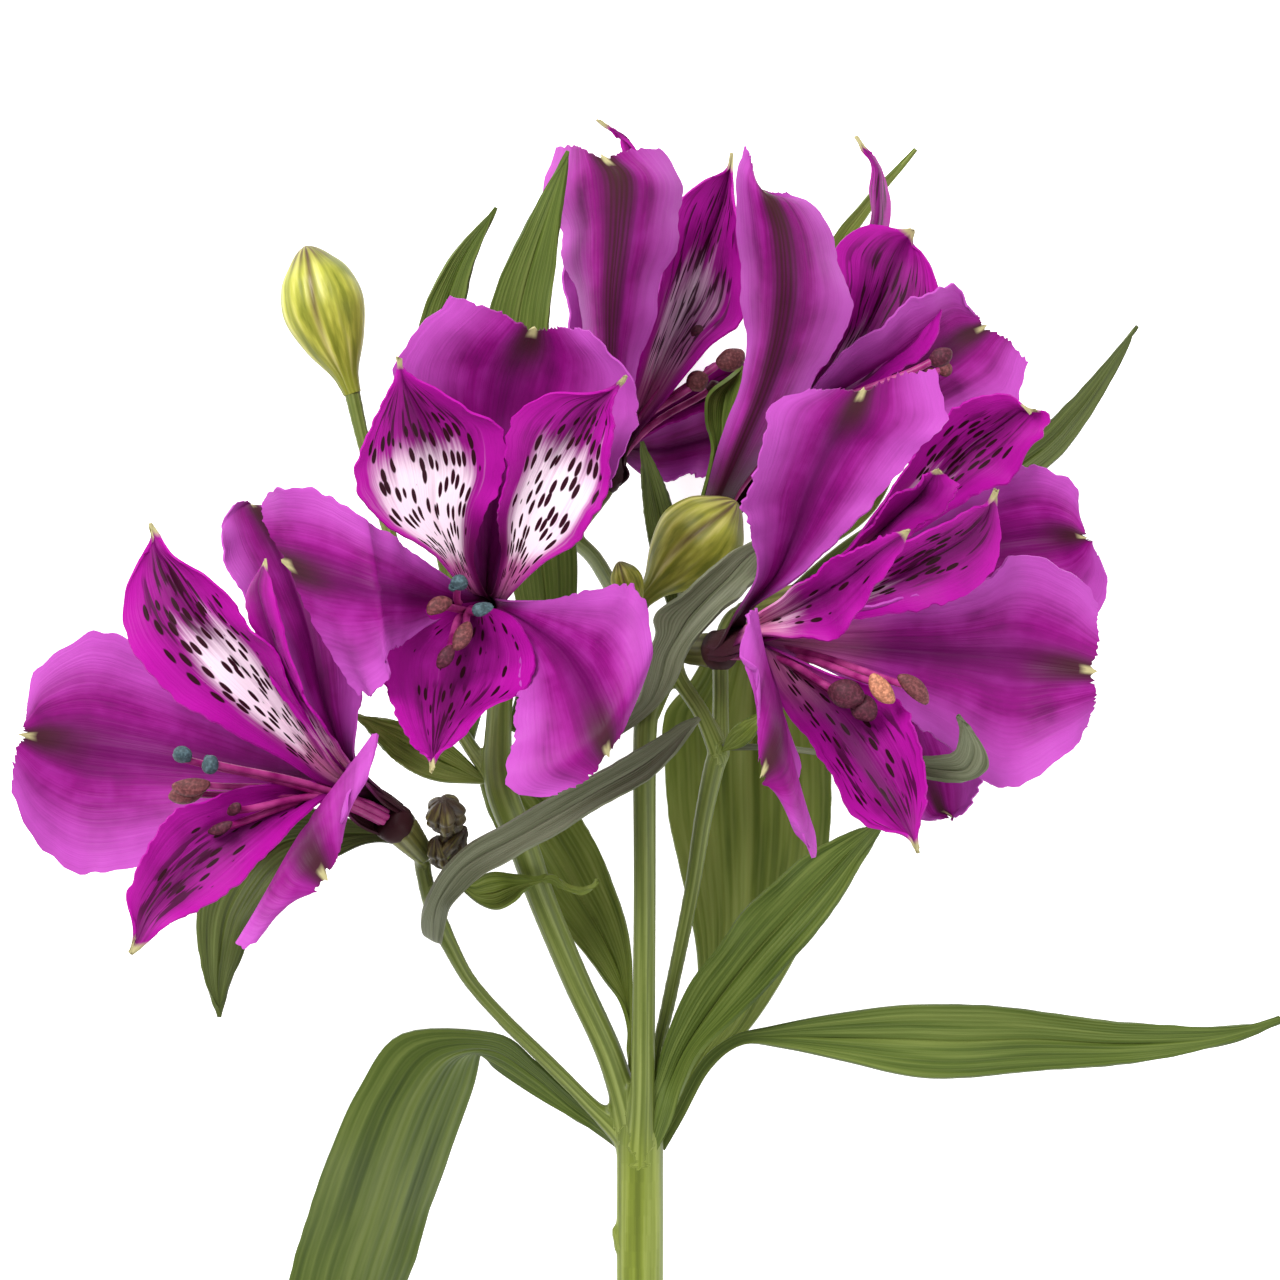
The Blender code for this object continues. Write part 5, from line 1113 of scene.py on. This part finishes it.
def leaf_lines(points, half_width, face, crease, outline):
    """The left edge, midrib and right edge of a leaf from its midrib's points. It starts inside its stalk."""
    points = np.array(points, float) + ORIGIN
    points[0] += unit(points[0] - points[1]) * LEAF_ROOT
    line = evenly(through(points), 90)
    side = unit(np.cross(np.gradient(line, axis=0), np.array(face, float)))
    up = np.cross(side, unit(np.gradient(line, axis=0)))
    shares, sizes = zip(*outline)
    shape = through(np.array(outline))
    widths = half_width * np.interp(np.linspace(shares[0], shares[-1], 90), shape[:, 0], shape[:, 1])[:, None]
    slope = math.radians(crease)
    left = line + widths * (-math.cos(slope) * side + math.sin(slope) * up)
    right = line + widths * (math.cos(slope) * side + math.sin(slope) * up)
    return np.hstack([left, line, right])


def leaf(name, lines, half_width, finish, materials, rng):
    grid = blade_grid(lines, 110, 33, 0.6)
    grid = ruffled(grid, rng, min(0.45, half_width * 0.07), 0.04, 0.0)
    grid[..., 2] = np.maximum(grid[..., 2], LEAF_THICKNESS / 2)
    made = blade(name + "_blade", grid, LEAF_THICKNESS, [materials[finish]], rng.uniform(0, 40))
    made = joined(made.name, [made])
    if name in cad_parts:
        settle(made, name)
    else:
        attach(made, "root")


def leaves(materials, rng):
    for name, (points, half_width, face, crease, outline, finish) in LEAVES.items():
        leaf(name, leaf_lines(points, half_width, face, crease, outline), half_width, finish, materials, rng)
    for name, (finish, rows) in LEAF_ROWS.items():
        placed = [np.concatenate([seen(*row[k:k + 3]) for k in (0, 3, 6)]) for row in rows]
        widest = max(np.linalg.norm(row[6:] - row[:3]) for row in placed) / 2
        leaf(name, through(placed), widest, finish, materials, rng)


def bud(name, facts, material):
    base, tip, radius = np.array(facts[0], float) + ORIGIN, np.array(facts[1], float) + ORIGIN, facts[2]
    base = base - unit(tip - base) * BUD_ROOT
    fine = through(np.array(BUD_OUTLINE), 10)
    line = base + (tip - base) * fine[:, :1]
    made = ring_body(name + "_body", line, np.maximum(fine[:, 1], 0.02) * radius, 90, [material],
                     3, 0.05, 0.06, 0.5)
    settle(joined(made.name, [made]), name)


def spent_buds(name, material, rng):
    """Three withered knobs where old flowers fell."""
    pieces = []
    for number, (foot, end, radius) in enumerate(SPENT_KNOBS):
        foot, end = seen(*foot), seen(*end)
        shares = 0.5 - 0.5 * np.cos(np.linspace(0, math.pi, 29))
        line = foot + (end - foot) * shares[:, None]
        swell = 1 + 0.10 * wander(shares, rng, 4)
        radii = np.maximum(radius * np.sin(math.pi * (0.04 + 0.92 * shares)) ** 0.55 * swell, 0.02)
        pieces.append(ring_body(f"{name}_knob_{number}", line, radii, 60, [material], 5, 0.10, 0.14, 0.6))
    settle(joined(name + "_body", pieces), name)


def stem(material):
    """The stalk, its rays and pedicels and the ribbed ovaries, run together as one grown piece."""
    start = np.array((0, -STEM_LENGTH, STEM_RADIUS - 0.2)) + ORIGIN
    end = np.array((0, 4, NODE_HEIGHT + 1.2)) + ORIGIN
    shares = np.linspace(0, 1, 160)
    swell = through(((0, 1.0), (0.9, 1.0), (0.95, 1.08), (0.97, 1.1), (0.985, 0.9), (1.0, 0.5)))
    guides = [(np.linspace(start, end, 160), STEM_RADIUS * np.interp(shares, swell[:, 0], swell[:, 1])),
              (np.array(SCAR) + ORIGIN, np.array((0.5, 1.0, 0.8, 0.3)))]
    for points in STALKS:
        placed = evenly(through(points), 60, slice(0, 3))
        guides.append((placed[:, :3] + ORIGIN, placed[:, 3]))
    pieces = [ring_body("stalk", line, radii, 20, [material], floor=True) for line, radii in guides]
    tops = []
    for name, facts in FLOWERS.items():
        axis = unit(np.array(facts["axis"], float))
        top = seen(*facts["base"]) - axis * 0.3
        foot = seen(*facts["foot"]) if "foot" in facts else top - axis * OVARY_LENGTH
        line = foot + (top - foot) * np.linspace(0, 1, 24)[:, None]
        profile = through(((0, 0.5), (0.2, 0.9), (0.55, 1.0), (0.85, 0.85), (1.0, 0.72)), 8)
        radii = OVARY_RADIUS * np.interp(shares, profile[:, 0], profile[:, 1])
        pieces.append(ring_body(name + "_ovary", line, radii, 48, [material], 6, 0.10, 0.05))
        guides.append((line, radii))
        tops.append(top)
    made = joined("green_stem", pieces)
    grown = made.modifiers.new("grown together", "REMESH")
    grown.mode = "VOXEL"
    grown.voxel_size = STEM_VOXEL * MM
    soft = made.modifiers.new("softened", "SMOOTH")
    soft.factor = 0.5
    soft.iterations = 8
    plain(made)
    # The fork where the rays leave the stalk is smoothed more.
    fork = made.vertex_groups.new(name="fork")
    middle = np.array((0, 1.0, NODE_HEIGHT)) + ORIGIN
    for vertex in made.data.vertices:
        gap = np.linalg.norm(np.array(vertex.co) / MM - middle)
        if gap < FORK_REACH:
            fork.add([vertex.index], min(1.0, 2 - 2 * gap / FORK_REACH), "REPLACE")
    softer = made.modifiers.new("fork", "SMOOTH")
    softer.vertex_group = "fork"
    softer.factor = 0.5
    softer.iterations = 30
    plain(made)
    mesh = made.data
    mesh.materials.clear()
    mesh.materials.append(material)
    points = np.empty(len(mesh.vertices) * 3, np.float32)
    mesh.vertices.foreach_get("co", points)
    points = points.reshape(-1, 3) / MM
    facts = {key: np.zeros(len(points)) for key in ("turn_x", "turn_y", "run_mm", "stout")}
    nearest = np.full(len(points), 1e9)
    for line, radii in guides:
        places = evenly(np.asarray(line), 60)
        widths = np.interp(np.linspace(0, 1, 60), np.linspace(0, 1, len(radii)), radii)
        gaps = np.linalg.norm(points[:, None, :] - places[None, :, :], axis=2) - widths[None, :]
        index = gaps.argmin(axis=1)
        gap = gaps[np.arange(len(points)), index]
        better = gap < nearest
        nearest[better] = gap[better]
        tangent = unit(np.gradient(places, axis=0))[index]
        side = unit(np.cross(tangent, (0.1, 0.0, 1.0)))
        spoke = points - places[index]
        turn = np.arctan2((spoke * np.cross(side, tangent)).sum(axis=1), (spoke * side).sum(axis=1))
        facts["turn_x"][better] = np.cos(turn[better])
        facts["turn_y"][better] = np.sin(turn[better])
        facts["run_mm"][better] = index[better] * np.linalg.norm(places[-1] - places[0]) / 60
    facts["stout"] = 1 - rising(points[:, 1] - ORIGIN[1], -7, 6)
    reach = np.min([np.linalg.norm(points - top, axis=1) for top in tops], axis=0)
    facts["blush"] = np.clip(1.25 - reach / 9, 0, 1) * 0.9
    for key, values in facts.items():
        mesh.attributes.new(key, "FLOAT", "POINT").data.foreach_set("value", values.astype(np.float32))
    mesh.shade_smooth()
    settle(made, "stem")


def studio():
    """A pale floor, soft light from all sides and a large lamp from the upper left, and the camera."""
    world = bpy.data.worlds.new("studio")
    bpy.context.scene.world = world
    world.use_nodes = True
    world.node_tree.nodes["Background"].inputs["Color"].default_value = (1, 1, 1, 1)
    world.node_tree.nodes["Background"].inputs["Strength"].default_value = 0.68
    mesh = bpy.data.meshes.new("floor")
    reach = 3.0
    mesh.from_pydata([(-reach, -reach, 0), (reach, -reach, 0), (reach, reach, 0), (-reach, reach, 0)], [],
                     [(0, 1, 2, 3)])
    paper, tree, shader = new_material("white paper", 0.9, 0.1)
    shader.inputs["Base Color"].default_value = (0.93, 0.93, 0.93, 1)
    shader.inputs["Emission Color"].default_value = (1, 1, 1, 1)
    shader.inputs["Emission Strength"].default_value = 0.6
    mesh.materials.append(paper)
    floor = bpy.data.objects.new("floor", mesh)
    bpy.context.scene.collection.objects.link(floor)
    for name, place, size, power in (("key", (-0.55, 0.75, 1.1), 0.6, 26), ("fill", (0.8, -0.3, 0.9), 0.9, 8)):
        lamp = bpy.data.lights.new(name, "AREA")
        lamp.size = size
        lamp.energy = power
        made = bpy.data.objects.new(name, lamp)
        made.location = place
        aim = np.array((0.0, 0.03, 0.05)) - np.array(place)
        made.rotation_euler = (math.acos(-aim[2] / np.linalg.norm(aim)), 0,
                               math.atan2(aim[1], aim[0]) + math.pi / 2 + math.pi)
        bpy.context.scene.collection.objects.link(made)
    lens = bpy.data.cameras.new("camera")
    lens.sensor_width = 36.0
    lens.lens = lens.sensor_width * (VIEW_HEIGHT - NODE_HEIGHT) / (2 * PICTURE_MIDDLE * VIEW_STEP)
    lens.clip_end = 20
    camera = bpy.data.objects.new("camera", lens)
    camera.location = (ORIGIN + np.array((0, VIEW_AHEAD, VIEW_HEIGHT))) * MM
    bpy.context.scene.collection.objects.link(camera)
    bpy.context.scene.camera = camera
    bpy.context.scene.view_settings.view_transform = "Standard"


def main():
    rng = np.random.default_rng(7)
    tepals = {
        "outer": [tepal_material("outer tepal face", "margin", blotch=0.9),
                  tepal_material("outer tepal back", "margin", blotch=0.8, rib=0.9)],
        "inner": [tepal_material("inner tepal face", "inner margin", marked=True),
                  tepal_material("inner tepal back", "inner margin")],
    }
    pollen = {name: pollen_material(name) for name in POLLEN_COLOURS}
    pollen["filament"] = filament_material()
    for name, facts in FLOWERS.items():
        flower(name, facts, tepals, rng)
        stamens(name, facts, pollen, rng)
    leaf_finishes = {name: leaf_material(name) for name in LEAF_COLOURS}
    leaves(leaf_finishes, rng)
    waxy = bud_material("waxy green bud", "6A7018", "A4A43C", "CCC672", "4A2E26")
    for name, facts in BUDS.items():
        bud(name, facts, waxy)
    spent_buds("bud_spent", bud_material("withered bud", "261C0E", "463A1C", "6A6432", "2A1A14"), rng)
    stem(stem_material())
    studio()


main()
